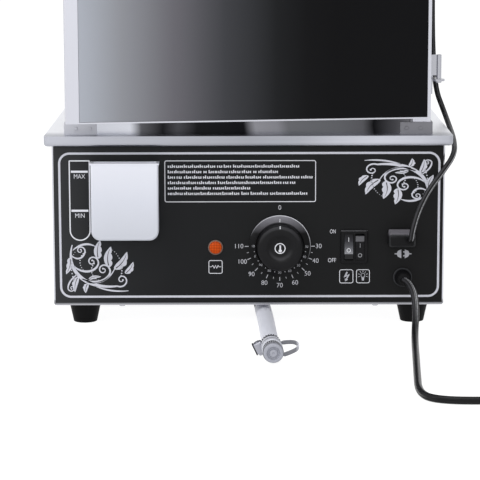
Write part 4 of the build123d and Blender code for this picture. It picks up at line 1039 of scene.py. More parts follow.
@dataclass
class Printer:
    """Lays flat prints on a plane that faces the front.

    Points are x and z in millimetres, and depth is millimetres behind the panel's face.
    """

    shop: Workshop
    thickness: float = 0.06
    letter_relief: float = 0.03
    letter_thinning: float = 0.03
    capital_share: float = 0.72

    def printed(self, name: str, shape: bmesh.types.BMesh) -> Piece:
        """Make a print of flat faces, turned to the front and thickened towards the panel.

        Args:
            name: the print's name.
            shape: its faces.

        Returns:
            The print.
        """
        for face in shape.faces:
            face.normal_update()
            if face.normal.y > 0:
                face.normal_flip()
        return modified(meshed(name, shape), "SOLIDIFY", thickness=self.thickness * MM, offset=-1.0)

    def sheet(self, name: str, outlines: Sequence[Sequence[Pair]], depth: float) -> Piece:
        """Fill outlines as flat shapes; each outline is a shape of its own.

        Args:
            name: the piece's name.
            outlines: closed outlines.
            depth: where the print's front lies, behind the panel's face.

        Returns:
            The print.
        """
        shape = bmesh.new()
        for outline in outlines:
            corners = [shape.verts.new(self.shop.at(x, depth, z)) for x, z in outline]
            edges = [shape.edges.new(pair) for pair in zip(corners, corners[1:] + corners[:1])]
            bmesh.ops.triangle_fill(shape, use_beauty=True, edges=edges)
        return self.printed(name, shape)

    def strips(
        self, name: str, strips: Sequence[Line], depth: float, closed: bool = False
    ) -> Piece:
        """Draw lines of changing width.

        Args:
            name: the piece's name.
            strips: each line's points with their widths.
            depth: where the print's front lies, behind the panel's face.
            closed: whether each line ends where it starts.

        Returns:
            The print.
        """
        shape = bmesh.new()
        for strip in strips:
            sides = []
            count = len(strip)
            for number, (point, width) in enumerate(strip):
                before = strip[(number - 1) % count if closed else max(number - 1, 0)][0]
                after = strip[(number + 1) % count if closed else min(number + 1, count - 1)][0]
                along = Vector((after[0] - before[0], after[1] - before[1])).normalized()
                across = Vector((-along.y, along.x)) * width / 2
                low = shape.verts.new(self.shop.at(point[0] - across.x, depth, point[1] - across.y))
                high = shape.verts.new(self.shop.at(point[0] + across.x, depth, point[1] + across.y))
                sides.append((low, high))
            bridge(shape, sides, closed)
        return self.printed(name, shape)

    def drape(self, piece: Piece, ground: Piece, proud: float) -> Piece:
        """Lay a print made at depth 0 on a curved piece.

        Args:
            piece: the print.
            ground: what it lies on.
            proud: how far it stands out, in millimetres.

        Returns:
            The same print.
        """
        bpy.context.view_layer.update()
        for corner in piece.data.vertices:
            start = Vector((corner.co.x, self.shop.panel_y - 0.2, corner.co.z))
            found, place, _, _ = ground.ray_cast(start, Vector((0.0, 1.0, 0.0)))
            if found:
                corner.co.y += place.y - self.shop.panel_y - proud * MM
        return piece

    def words(self, text: str, middle: Pair, height: float, depth: float, width_share: float = 1.0) -> Piece:
        """Print a generic word or number.

        Args:
            text: what to print.
            middle: the middle of the word.
            height: the capitals' height in millimetres.
            depth: where the print lies, behind the panel's face.
            width_share: how wide the letters are set.

        Returns:
            The print.
        """
        only_none()
        bpy.ops.object.text_add(location=ORIGIN)
        letters = bpy.context.active_object
        letters.data.body = text
        letters.data.align_x = "CENTER"
        letters.data.align_y = "CENTER"
        letters.data.size = height * MM / self.capital_share
        letters.data.extrude = self.letter_relief * MM
        letters.data.offset = -self.letter_thinning * MM
        bpy.ops.object.convert(target="MESH")
        piece = bpy.context.active_object
        piece.scale = (width_share, 1.0, 1.0)
        return placed(piece, (math.pi / 2, 0.0, 0.0), self.shop.at(middle[0], depth, middle[1]))


def around(middle: Pair, radius: float, angle: float) -> Pair:
    """Return a point on a circle, by its angle in radians."""
    return (middle[0] + radius * math.cos(angle), middle[1] + radius * math.sin(angle))


def frame_line(box: Box, radii: Box, width: float) -> Line:
    """Return a closed line round a box with rounded corners.

    Args:
        box: its left, right, bottom and top.
        radii: of the corners bottom left, bottom right, top right and top left.
        width: the line's width.

    Returns:
        The line's points with their widths.
    """
    left, right, bottom, top = box
    corners = ((left, 1, bottom, 1), (right, -1, bottom, 1), (right, -1, top, -1), (left, 1, top, -1))
    line = []
    for number, ((x, inward, z, upward), radius) in enumerate(zip(corners, radii)):
        middle = (x + inward * radius, z + upward * radius)
        steps = 14 if radius > 1.5 else 4
        for step in range(steps + 1):
            angle = math.radians(180.0 + 90.0 * (number + step / steps))
            line.append((around(middle, radius, angle), width))
    return line


def disc_outline(x: float, z: float, radius: float, count: int = 24) -> list[Pair]:
    """Return a circle's points."""
    return [around((x, z), radius, 2 * math.pi * number / count) for number in range(count)]


def tick(middle: Pair, degrees: float, reach: Pair, width: float) -> Line:
    """Return a short line that points at a middle, from one distance to another."""
    return [(around(middle, radius, math.radians(degrees)), width) for radius in reach]


def stem(points: Sequence[Pair], widths: Sequence[float], count: int = 40) -> Line:
    """Return a curved stem through four Bezier points.

    Args:
        points: start, two handles and end.
        widths: at the start, in the middle and at the end.
        count: how many points to give.

    Returns:
        Points with widths.
    """
    line = []
    for number in range(count + 1):
        t = number / count
        share = (1 - t) ** 3, 3 * t * (1 - t) ** 2, 3 * t**2 * (1 - t), t**3
        x = sum(part * point[0] for part, point in zip(share, points))
        z = sum(part * point[1] for part, point in zip(share, points))
        width = widths[0] * (1 - t) ** 2 + 2 * widths[1] * t * (1 - t) + widths[2] * t**2
        line.append(((x, z), max(width, 0.12)))
    return line


def curl(middle: Pair, radii: Pair, angles: Pair, widths: Pair, count: int = 60) -> Line:
    """Return a spiral that winds in or out.

    Args:
        middle: the spiral's middle.
        radii: at the start and at the end.
        angles: at the start and at the end, in degrees.
        widths: at the start and at the end.
        count: how many points to give.

    Returns:
        Points with widths.
    """
    line = []
    for number in range(count + 1):
        t = number / count
        radius = radii[0] * (radii[1] / radii[0]) ** t
        angle = math.radians(angles[0] + (angles[1] - angles[0]) * t)
        line.append((around(middle, radius, angle), widths[0] + (widths[1] - widths[0]) * t))
    return line


def leaf(base: Pair, tip: Pair, width: float, bend: float, lobes: int = 3) -> list[Pair]:
    """Return the outline of a scalloped, pointed leaf.

    Args:
        base: where it grows from.
        tip: its point.
        width: its greatest width.
        bend: how far its middle bows sideways.
        lobes: how many scallops an edge has.

    Returns:
        The outline.
    """
    near, far = [], []
    for number in range(49):
        t = number / 48
        centre, across = leaf_middle(base, tip, bend, t)
        half = width / 2 * math.sin(math.pi * t**0.7) ** 0.75
        high = centre + across * half * (0.74 + 0.34 * abs(math.sin(math.pi * lobes * t)) ** 0.7)
        low = centre - across * half * 0.8
        near.append((high.x, high.y))
        far.append((low.x, low.y))
    return near + far[-2:0:-1]


def leaf_middle(base: Pair, tip: Pair, bend: float, t: float) -> tuple[Vector, Vector]:
    """Return a point on a leaf's middle and the direction across it.

    Args:
        base: where the leaf grows from.
        tip: its point.
        bend: how far its middle bows sideways.
        t: how far along it the point lies, from 0 to 1.

    Returns:
        The point and the direction.
    """
    along = Vector((tip[0] - base[0], tip[1] - base[1]))
    across = Vector((-along.y, along.x)).normalized()
    return (Vector(base) + along * t + across * bend * math.sin(math.pi * t), across)


@dataclass(frozen=True)
class Scroll:
    """A plain leafy scroll that grows from a corner of the panel.

    Its lines are drawn from a corner of their own; scale is below zero where it grows left or down.
    """

    name: str
    corner: Pair
    scale: Pair
    leaves: tuple[tuple[Pair, Pair, float, float], ...] = (
        ((59, 33), (63.0, 17.5), 6.4, -1.6), ((52, 15), (55.0, 0.4), 6.0, 1.2),
        ((43, 8.5), (45.0, -0.4), 5.4, 1.0), ((18, 22), (6.0, 38.5), 8.2, 2.2),
        ((23, 24), (21.0, 43.5), 8.6, -2.2), ((33, 32), (31.0, 49.5), 8.0, -1.6),
        ((42, 13), (30.5, 15.0), 3.6, -0.8), ((8, 18), (0.4, 29.0), 6.0, 1.4),
    )
    bead_rows: tuple[tuple[Pair, Pair, Pair, int], ...] = (
        ((33, 22), (22, 23), (196, 128), 12), ((40, 29), (10, 10.5), (60, -70), 11),
        ((29, 21), (10.4, 10), (40, -80), 10), ((49, 24), (9, 18), (-40, 52), 10),
    )

    def placed(self, point: Pair) -> Pair:
        """Return a point of the scroll on the panel."""
        return (self.corner[0] + self.scale[0] * point[0], self.corner[1] + self.scale[1] * point[1])

    @staticmethod
    def stems() -> tuple[list[Line], list[Line]]:
        """Return the plain stems and the curls that they end in."""
        stems = [
            stem([(57, 45), (64, 21), (46, 2.5), (15.5, 6.0)], (0.9, 5.4, 1.5)),
            stem([(55.5, 25), (48, 17), (35, 19), (32.8, 27.5)], (1.0, 2.9, 1.5)),
            stem([(48, 13), (38, 7.5), (24, 10), (22.0, 19.5)], (1.0, 3.0, 1.6)),
            stem([(57.5, 35), (53, 30), (46.5, 32), (45.2, 38.6)], (0.8, 2.2, 1.3)),
            stem([(53, 17), (58, 13), (61.6, 9), (61.4, 3.6)], (0.8, 2.0, 1.2)),
            stem([(44, 10), (33, 6.5), (20, 12), (16.0, 27.5)], (0.5, 2.0, 0.4)),
            stem([(56.5, 40), (50, 46), (42, 47.5), (35.5, 43.5)], (0.6, 3.4, 0.5)),
            stem([(36, 6), (27, 2), (16, 0.4), (5, 1.6)], (0.5, 2.6, 0.5)),
        ]
        curls = [
            curl((11.5, 12.0), (7.2, 1.3), (-56, -530), (1.5, 0.7)),
            curl((38.6, 29.2), (6.0, 1.2), (197, -270), (1.5, 0.7)),
            curl((28.4, 21.3), (6.6, 1.3), (196, -280), (1.6, 0.7)),
            curl((49.6, 39.8), (4.6, 1.0), (195, -240), (1.3, 0.6)),
            curl((57.8, 4.2), (3.7, 0.9), (-9, -420), (1.2, 0.6)),
        ]
        return (stems, curls)

    def strips(self) -> list[Line]:
        """Return the stems and curls on the panel."""
        stems, curls = self.stems()
        share = (abs(self.scale[0]) + abs(self.scale[1])) / 2
        return [[(self.placed(point), width * share) for point, width in line] for line in stems + curls]

    def beads(self) -> list[list[Pair]]:
        """Return rows of discs that grow smaller."""
        beads = []
        for middle, radii, angles, count in self.bead_rows:
            for number in range(count):
                t = number / (count - 1)
                angle = math.radians(angles[0] + (angles[1] - angles[0]) * t)
                x = middle[0] + radii[0] * math.cos(angle)
                z = middle[1] + radii[1] * math.sin(angle)
                beads.append(disc_outline(x, z, 0.72 - 0.4 * t, 12))
        return beads

    def shapes(self) -> list[list[Pair]]:
        """Return the leaves, the beads and the balls at the curls' ends, on the panel."""
        leaves = [leaf(*sizes) for sizes in self.leaves]
        balls = [disc_outline(*line[-1][0], line[-1][1] * 1.25, 20) for line in self.stems()[1]]
        return [[self.placed(point) for point in shape] for shape in leaves + self.beads() + balls]

    def veins(self) -> list[Line]:
        """Return the line in the middle of each leaf, on the panel."""
        veins = []
        for base, tip, width, bend in self.leaves:
            line = []
            for number in range(9):
                t = 0.08 + 0.78 * number / 8
                point, _ = leaf_middle(base, tip, bend, t)
                line.append((self.placed((point.x, point.y)), width * 0.1 * (1.05 - t) + 0.12))
            veins.append(line)
        return veins


@dataclass
class Assembly:
    """What the sub-assemblies share: their workshop and their printer."""

    shop: Workshop

    def __post_init__(self) -> None:
        """Set up the printer."""
        self.printer = Printer(self.shop)

    def keep(self, piece: Piece, finish: Any, slot: str, body: Body = Body.STEAMER) -> None:
        """Dress a new piece and let it ride on its body.

        Args:
            piece: the new piece.
            finish: its finish.
            slot: not used.
            body: the body that carries it.
        """
        piece.data.materials.clear()
        piece.data.materials.append(self.shop.material(finish))
        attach(piece, body.value)
        LOG.info("built %s on %s", piece.name, body.value)


@dataclass
class ControlPanel(Assembly):
    """Everything printed on the black front.

    Places are x and z in millimetres, and a box is left, right, bottom and top.
    """

    pale: PrintInk = PrintInk("ink_pale", srgb(228, 229, 236))
    silver: PrintInk = PrintInk("ink_silver", srgb(206, 207, 217))
    cut: PrintInk = PrintInk("ink_dark", srgb(34, 34, 36))
    dim: PrintInk = PrintInk("ink_dim", srgb(180, 181, 188))
    soft: PrintInk = PrintInk("ink_soft", srgb(200, 201, 208))
    border_box: Box = (-174.9, 176.5, 26.8, 161.4)
    border_radii: Box = (9.5, 9.5, 9.5, 9.5)
    border_line: float = 2.0
    gauge_box: Box = (-165.6, -147.1, 80.3, 154.6)
    gauge_radii: Box = (9.25, 9.25, 0.4, 0.4)
    gauge_line: float = 1.1
    levels: Pair = (144.5, 108.0)
    level_ends: Pair = (-164.2, -148.5)
    level_line: float = 2.0
    gauge_word_size: float = 4.2
    max_place: Pair = (-156.4, 139.9)
    min_place: Pair = (-156.4, 103.2)
    note_box: Box = (-77.3, 62.1, 116.1, 154.4)
    note_radii: Box = (1.6, 1.6, 1.6, 1.6)
    note_line: float = 0.7
    note_start: Pair = (-74.1, 149.0)
    note_rows: tuple[tuple[float, tuple[int, ...]], ...] = (
        (122.0, (9, 3, 12, 13, 5, 7, 12, 29, 9)), (103.8, (6, 13, 9, 4, 6, 10, 10, 9, 4, 8, 9)),
        (134.2, (6, 5, 13, 7, 9, 13, 12, 7, 10, 9, 8)), (119.5, (16, 9, 10, 8, 21, 10, 12, 13, 6, 6)),
        (77.0, (12, 10, 17, 5, 12, 16)), (129.7, (3, 11, 9, 12, 7, 12, 10, 8, 7, 10, 12, 5, 9, 7)),
    )
    row_gap: float = 5.08
    word_gap: float = 2.2
    stroke_gap: float = 1.9
    stroke_width: float = 1.05
    stroke_drop: float = 1.05
    stroke_rises: Pair = (1.0, 1.8)
    bar_width: float = 0.7
    bar_drop: float = 0.65
    sign_boxes: tuple[tuple[Box, float], ...] = (
        ((-37.0, -24.6, 48.7, 60.8), 1.4), ((84.8, 97.2, 39.3, 51.8), 1.8), ((100.5, 112.6, 39.3, 51.8), 1.8),
    )
    sign_line: float = 0.6
    zigzag: tuple[Pair, ...] = (
        (-36.3, 54.9), (-34.2, 54.9), (-33.3, 56.4), (-32.1, 53.3), (-30.9, 56.4), (-29.7, 53.3),
        (-28.5, 56.4), (-27.6, 54.9), (-25.4, 54.9),
    )
    bolt: tuple[Pair, ...] = (
        (91.0, 49.9), (92.5, 49.6), (91.3, 46.5), (94.2, 47.9), (93.8, 46.5), (91.9, 43.2), (92.6, 42.4),
        (89.9, 40.6), (89.5, 43.4), (90.5, 43.1), (91.9, 45.7), (88.5, 44.4),
    )
    bulb: Pair = (106.5, 46.6)
    bulb_radius: float = 1.8
    bulb_foot: tuple[Pair, ...] = ((-1.3, 44.9), (1.3, 44.9), (0.9, 41.5), (-0.9, 41.5))
    ray_reach: Pair = (2.9, 4.6)
    socket_middle: float = 143.7
    socket_half: tuple[Pair, ...] = (
        (-7.9, 67.2), (-7.9, 66.3), (-5.9, 66.3), (-4.8, 64.0), (-1.6, 62.5), (-1.6, 71.0), (-4.8, 69.5),
        (-5.9, 67.2),
    )
    pin_span: Pair = (143.9, 145.5)
    pin_heights: tuple[Pair, ...] = ((69.2, 68.0), (65.5, 64.3))
    scale_middle: Pair = (29.0, 74.1)
    scale_step: float = 22.5
    digit_size: float = 4.4
    off_reach: float = 36.3
    reaches: tuple[float, ...] = (36.1, 36.1, 36.6, 37.2, 37.0, 37.4, 37.2, 37.9, 38.2)
    long_tick: tuple[Pair, float] = ((29.0, 32.6), 0.62)
    short_tick: tuple[Pair, float] = ((29.4, 31.2), 0.42)
    switch_word_size: float = 3.9
    on_place: Pair = (78.3, 87.8)
    off_place: Pair = (77.6, 60.7)
    scrolls: tuple[Scroll, ...] = (
        Scroll("left", (-107.0, 30.8), (-1.0, 1.0)), Scroll("right", (101.8, 155.8), (1.1, -0.86))
    )

    def build(self) -> None:
        """Build and dress the panel."""
        self.shop.dress(PrintedPanel("panel_lacquer"), "front_panel")
        border = frame_line(self.border_box, self.border_radii, self.border_line)
        self.lines("print_border", [border], self.silver, closed=True)
        self.gauge()
        self.note()
        self.sign_lines()
        self.sign_shapes()
        self.scale()
        words = (("ON", self.on_place, 0.65), ("OFF", self.off_place, 0.82))
        self.words("print_switch_words", words, self.switch_word_size)
        for scroll in self.scrolls:
            self.lines(f"print_scroll_{scroll.name}", scroll.strips(), self.silver)
            leaves = self.printer.sheet(f"print_leaves_{scroll.name}", scroll.shapes(), Ink.FILL.value)
            self.lay(leaves, self.silver)
            veins = self.printer.strips(f"print_veins_{scroll.name}", scroll.veins(), Ink.DETAIL.value)
            self.lay(veins, self.cut)

    def lay(self, piece: Piece, ink: PrintInk | None = None) -> None:
        """Put a print on the panel, in pale ink unless another is given."""
        self.keep(piece, ink or self.pale, "panel_black")

    def lines(
        self, name: str, strips: Sequence[Line], ink: PrintInk | None = None, closed: bool = False
    ) -> None:
        """Print lines on the panel.

        Args:
            name: the print's name.
            strips: each line's points with their widths.
            ink: its ink, where it isn't the pale one.
            closed: whether each line ends where it starts.
        """
        self.lay(self.printer.strips(name, strips, Ink.LINE.value, closed), ink)

    def words(
        self, name: str, words: Sequence[tuple[str, Pair, float]], size: float, ink: PrintInk | None = None
    ) -> None:
        """Print words on the panel as one piece.

        Args:
            name: the piece's name.
            words: each word with its middle and how wide it is set.
            size: the capitals' height in millimetres.
            ink: its ink, where it isn't the pale one.
        """
        depth = Ink.LINE.value
        pieces = [self.printer.words(text, middle, size, depth, share) for text, middle, share in words]
        self.lay(joined(name, pieces), ink)

    def gauge(self) -> None:
        """Print the water gauge with its two levels."""
        outline = frame_line(self.gauge_box, self.gauge_radii, self.gauge_line)
        self.lines("print_gauge", [outline], closed=True)
        bars = [[((x, level), self.level_line) for x in self.level_ends] for level in self.levels]
        self.lines("print_levels", bars)
        words = (("MAX", self.max_place, 0.86), ("MIN", self.min_place, 0.9))
        self.words("print_gauge_words", words, self.gauge_word_size)

    def note(self) -> None:
        """Print the frame of the note, with plain strokes in place of its words."""
        outline = frame_line(self.note_box, self.note_radii, self.note_line)
        self.lines("print_note_frame", [outline], closed=True)
        strokes = []
        for row, (reach, lengths) in enumerate(self.note_rows):
            x, z = self.note_start[0], self.note_start[1] - row * self.row_gap
            for length in lengths:
                span = length * reach / sum(lengths)
                count = max(round((span - self.word_gap) / self.stroke_gap), 1) + 1
                strokes += self.mumble(x, z, count)
                x += span
        self.lines("print_note_rows", strokes)

    def mumble(self, x: float, z: float, count: int) -> list[Line]:
        """Return upright strokes with a bar between some of them, which say nothing.

        Args:
            x: where the first stroke stands.
            z: the row's middle.
            count: how many strokes there are.

        Returns:
            The strokes, as lines with widths.
        """
        strokes = []
        for number in range(count):
            rise = self.stroke_rises[(number * 7 + count) % 4 == 0]
            at = x + self.stroke_gap * number
            strokes.append([((at, end), self.stroke_width) for end in (z - self.stroke_drop, z + rise)])
            if number + 1 < count and (number + count) % 3:
                bar = z - self.bar_drop if (number + count) % 3 == 1 else z
                strokes.append([((end, bar), self.bar_width) for end in (at, at + self.stroke_gap)])
        return strokes

    def sign_lines(self) -> None:
        """Print the signs' boxes, the heater's zigzag and the lamp's rays."""
        boxes = [frame_line(box, (radius,) * 4, self.sign_line) for box, radius in self.sign_boxes]
        self.lines("print_sign_boxes", boxes, closed=True)
        rays = []
        for step in range(7):
            near, far = tick(self.bulb, -20.0 + 220.0 / 6 * step, self.ray_reach, 0.3)
            rays.append([near, (far[0], 0.26)])
        heater = [[(near, 0.5), (far, 0.5)] for near, far in zip(self.zigzag, self.zigzag[1:])]
        self.lines("print_sign_lines", heater + rays)

    def sign_shapes(self) -> None:
        """Print the bolt, the lamp's bulb and foot, and the plug in its socket."""
        foot = [(self.bulb[0] + x, z) for x, z in self.bulb_foot]
        halves = [[(self.socket_middle + way * x, z) for x, z in self.socket_half] for way in (1, -1)]
        start, end = self.pin_span
        pins = [[(start, top), (start, low), (end, low), (end, top)] for top, low in self.pin_heights]
        shapes = [self.bolt, foot, *halves, *pins]
        self.lay(self.printer.sheet("print_sign_shapes", shapes, Ink.LINE.value), self.dim)
        ring = [(point, 0.42) for point in disc_outline(*self.bulb, self.bulb_radius)]
        self.lines("print_sign_bulb", [ring], self.dim, closed=True)

    def scale(self) -> None:
        """Print the temperatures round the dial, with a long tick at each and a short one between."""
        marks = [("0", around(self.scale_middle, self.off_reach, math.pi / 2), 0.98)]
        for step, reach in enumerate(self.reaches):
            angle = math.radians(-self.scale_step * step)
            marks.append((str(30 + 10 * step), around(self.scale_middle, reach, angle), 0.98))
        self.words("print_temperatures", marks, self.digit_size, self.soft)
        steps = range(len(self.reaches))
        ticks = [tick(self.scale_middle, -self.scale_step * step, *self.long_tick) for step in steps]
        ticks += [
            tick(self.scale_middle, -self.scale_step * (step + 0.5), *self.short_tick) for step in steps[:-1]
        ]
        self.lines("print_ticks", ticks, self.soft)


@dataclass
class Dial(Assembly):
    """The thermostat's knob with its skirt and marks.

    Rings are radius and height over the panel's face, and depths are behind it, so below zero.
    """

    middle: Pair = (29.0, 74.8)
    sides: int = 128
    skirt_rings: Rings = (
        (27.6, 1.5), (28.4, 1.5), (28.7, 1.8), (28.7, 2.6), (28.3, 2.95), (23.2, 5.7), (22.8, 5.8),
        (22.4, 5.5), (22.2, 3.4),
    )
    grip_rings: Rings = (
        (20.8, 3.0), (21.3, 3.3), (21.4, 12.0), (21.2, 15.6), (20.9, 16.8), (20.3, 17.7), (19.35, 18.3),
        (18.2, 18.55), (15.0, 18.6), (13.2, 18.6), (12.4, 18.5), (11.9, 18.2), (10.6, 17.0), (9.8, 16.6),
        (9.0, 16.4), (7.0, 16.1), (3.0, 16.0),
    )
    ink: PrintInk = PrintInk("dial_ink", srgb(226, 227, 233))
    dim: PrintInk = PrintInk("dial_dim_ink", srgb(196, 197, 203))
    sign_depth: float = -16.2
    sign_radius: float = 4.6
    tube_offset: float = 0.15
    tube_ends: Pair = (3.0, -1.4)
    tube_width: float = 1.5
    pointer_reach: Pair = (18.5, 20.9)
    digit_reach: float = 24.8
    digit_size: float = 2.3
    digit_depth: float = -5.7
    tick_reach: Pair = (23.7, 24.6)
    tick_depth: float = -6.1
    skirt_pointer: Pair = (26.0, 22.9)
    skirt_pointer_depth: float = -5.9

    def build(self) -> None:
        """Build the knob in place of its plain node."""
        place = self.shop.at(self.middle[0], 0.0, self.middle[1])
        skirt = grown("dial_skirt", place, FRONT, self.skirt_rings, self.sides)
        self.turned(skirt, DialSkirt("skirt_black", self.middle))
        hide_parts("thermostat_knob")
        knob = grown("dial_grip", place, FRONT, self.grip_rings, self.sides)
        self.turned(knob, DialGrip("knob_black", self.middle))
        self.grip_marks(knob)
        self.skirt_marks()

    def turned(self, piece: Piece, finish: Any) -> None:
        """Let a piece turn with the dial."""
        self.keep(piece, finish, "gloss_black", Body.DIAL)

    def grip_marks(self, knob: Piece) -> None:
        """Print the grip's pointer and the sign in its dish.

        Args:
            knob: the grip.
        """
        printer, (x, z) = self.printer, self.middle
        ring = [(point, 0.9) for point in disc_outline(x, z, self.sign_radius, 48)]
        tube = [((x + self.tube_offset, z + end), self.tube_width) for end in self.tube_ends]
        bulb = disc_outline(x + self.tube_offset, z - 2.2, 1.5)
        start, end = self.pointer_reach
        band = [((x, z + start + (end - start) * step / 8), 0.75) for step in range(9)]
        pieces = [
            printer.strips("dial_ring", [ring], self.sign_depth, closed=True),
            printer.strips("dial_tube", [tube], self.sign_depth),
            printer.sheet("dial_bulb", [bulb], self.sign_depth - 0.05),
            printer.drape(printer.strips("dial_pointer", [band], 0.0), knob, 0.12),
        ]
        self.turned(joined("dial_marks", pieces), self.ink)

    def skirt_marks(self) -> None:
        """Print the small scale and the pointer on the skirt."""
        printer, (x, z) = self.printer, self.middle
        small = []
        for number in range(9):
            place = around(self.middle, self.digit_reach, math.radians(-22.5 * number - 0.8))
            text = str(10 * (number + 3) % 100)
            small.append(printer.words(text, place, self.digit_size, self.digit_depth))
        ticks = [tick(self.middle, -11.25 * step, self.tick_reach, 0.6) for step in range(1, 16, 2)]
        small.append(printer.strips("small_ticks", ticks, self.tick_depth))
        self.turned(joined("dial_small_scale", small), self.dim)
        pointer = [((x, z + reach), 0.7) for reach in self.skirt_pointer]
        mark = printer.strips("dial_skirt_pointer", [pointer], self.skirt_pointer_depth)
        self.turned(mark, self.ink)


@dataclass
class Controls(Assembly):
    """The indicator lamp, the two switches, the plug in the light outlet and the gland.

    A place is x and z, or x, how far behind the panel's face, and z. Rings are radius and height.
    """

    rocker_span: Pair = (61.0, 86.0)
    # Painted light and shade on the power rocker: pale where its lower half catches light, dark above it and
    # in the shade below it.
    power_painted_shading: Stops = tones(
        (0.0, 22, 22, 24), (0.245, 26, 26, 28), (0.255, 136, 137, 142), (0.36, 114, 115, 120),
        (0.55, 74, 75, 79), (0.75, 46, 46, 50), (1.0, 20, 20, 22),
    )
    # Painted light on the light rocker: a pale band where its top catches light, dark elsewhere.
    light_painted_shading: Stops = tones(
        (0.0, 18, 18, 20), (0.715, 22, 22, 24), (0.725, 106, 106, 110), (0.93, 98, 98, 102),
        (0.935, 24, 24, 26), (1.0, 20, 20, 22),
    )
    lamp_place: Pair = (-30.7, 73.3)
    bezel_rings: Rings = ((6.9, 0.0), (6.9, 1.0), (6.6, 1.6), (6.1, 1.8), (5.95, 1.7), (5.9, 1.0))
    lens_rings: Rings = ((5.9, 0.9), (5.88, 1.9), (5.5, 2.5), (4.6, 3.0), (3.0, 3.3), (1.2, 3.4))
    plug_place: Triple = (141.3, -11.2, 82.2)
    plug_size: Triple = (25.3, 18.8, 12.4)
    roof_place: Triple = (141.3, -10.9, 87.5)
    roof_size: Triple = (23.2, 17.6, 4.2)
    roof_tilt: float = 5.5
    boot_place: Pair = (148.7, 84.4)
    boot_rings: Rings = (
        (4.4, 20.0), (4.5, 21.4), (4.2, 21.9), (3.7, 22.0), (3.4, 23.4), (3.0, 24.2), (2.7, 25.4)
    )
    # Painted light on the plug: its top turns pale where light falls on it, the rest stays dark.
    plug_painted_shading: Stops = tones(
        (0.0, 30, 30, 32), (0.16, 16, 16, 18), (0.62, 15, 15, 17), (0.76, 40, 40, 43),
        (0.84, 100, 98, 104), (1.0, 116, 114, 120),
    )
    plug_edge_box: Box = (129.9, 152.7, 77.0, 87.6)
    housing_highlight_step: float = 0.5
    gland_place: Pair = (143.4, 44.9)
    sleeve_rings: Rings = (
        (5.3, 11.0), (5.3, 12.2), (4.8, 12.5), (4.8, 13.2), (5.1, 13.5), (5.1, 14.4), (4.5, 14.7),
        (4.5, 15.4), (4.8, 15.7), (4.8, 16.6), (4.1, 16.9), (4.1, 17.6), (4.4, 17.9), (4.4, 18.6),
        (3.7, 19.0), (3.4, 20.2),
    )
    flange_rings: Rings = (
        (8.65, 0.9), (8.8, 1.1), (8.8, 2.3), (8.5, 2.65), (7.9, 2.65), (7.7, 2.45)
    )
    power_mark: Triple = (93.0, 80.5, 70.6)
    light_mark: Triple = (103.6, 75.0, 65.7)

    def build(self) -> Piece:
        """Dress the controls and add their details.

        Returns:
            The plug in the light outlet.
        """
        shop = self.shop
        shop.dress(Moulding("switch_black", srgb(15, 15, 17), 0.4, 0.12), "switch_housing")
        span = self.rocker_span
        shop.dress(PaintedShadingSurface("rocker_left", 2, span, self.power_painted_shading, 0.3, 0.12), "power_rocker")
        shop.dress(PaintedShadingSurface("rocker_right", 2, span, self.light_painted_shading, 0.3, 0.12), "light_rocker")
        shop.dress(Moulding("outlet_black", srgb(14, 14, 16), 0.45, 0.1), "light_outlet", "light_plug")
        shop.dress(Moulding("gland_black", srgb(14, 14, 16), 0.5, 0.1), "cord_gland")
        self.lamp()
        power, light = PrintInk("power_ink", srgb(222, 223, 228)), PrintInk("light_ink", srgb(150, 151, 155))
        self.rocker_marks("power", self.power_mark, Body.POWER, power)
        self.rocker_marks("light", self.light_mark, Body.LIGHT, light)
        plug = self.outlet_plug()
        self.housing_highlight()
        self.gland()
        return plug

    def fixed(self, piece: Piece, finish: Any) -> None:
        """Put a black fitting on the steamer's body."""
        self.keep(piece, finish, "black_plastic")

    def raised(self, name: str, place: Pair, rings: Rings, sides: int) -> Piece:
        """Grow a round piece out of the panel."""
        return grown(name, self.shop.at(place[0], 0.0, place[1]), FRONT, rings, sides)

    def lamp(self) -> None:
        """Build the lamp's bezel and its domed lens."""
        bezel = self.raised("lamp_bezel", self.lamp_place, self.bezel_rings, 64)
        self.fixed(bezel, Moulding("bezel_brown", srgb(124, 104, 94), 0.4, 0.3))
        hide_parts("indicator_bezel")
        lens = self.raised("lamp_lens", self.lamp_place, self.lens_rings, 64)
        self.keep(lens, LampLens("lens_orange"), "orange_lens")
        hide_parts("indicator_lens")

    def outlet_plug(self) -> Piece:
        """Build the plug in the light outlet, and lay a painted highlight, a grey line, on its rounded edge.

        Returns:
            The plug: its body, its sloping roof and the cord's boot.
        """
        plug = slab("plug_body", self.shop.at(*self.plug_place), self.plug_size, 2.4, 5)
        roof = slab("plug_roof", Vector(ORIGIN), self.roof_size, 1.1, 3)
        placed(roof, (math.radians(self.roof_tilt), 0.0, 0.0), self.shop.at(*self.roof_place))
        boot = self.raised("boot", self.boot_place, self.boot_rings, 48)
        whole = joined("outlet_plug", [plug, roof, boot])
        finish = PaintedShadingSurface(
            "plug_dark", 2, (76.0, 90.6), self.plug_painted_shading, 0.4, 0.12, 0.0, 380.0, 0.00004, 0.08
        )
        self.fixed(whole, finish)
        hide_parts("light_plug")
        # Painted highlight: a grey line on the plug's rounded front edge, where it catches light.
        rim = frame_line(self.plug_edge_box, (2.2, 2.2, 2.2, 2.2), 1.3)
        edge = self.printer.drape(self.printer.strips("plug_edge", [rim], 0.0, closed=True), whole, 0.12)
        self.fixed(edge, Moulding("plug_highlight_grey", srgb(46, 47, 49), 0.45, 0.15))
        return whole

    def housing_highlight(self) -> None:
        """Lay a painted highlight, a pale line, along the upper edge of the switch housing."""
        low, high = (Vector(corner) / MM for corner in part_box("switch_housing"))
        start, step = low.x + 0.6, self.housing_highlight_step
        count = round((high.x - 0.6 - start) / step) + 1
        points = [((start + step * number, high.z - 0.7), 0.45) for number in range(count)]
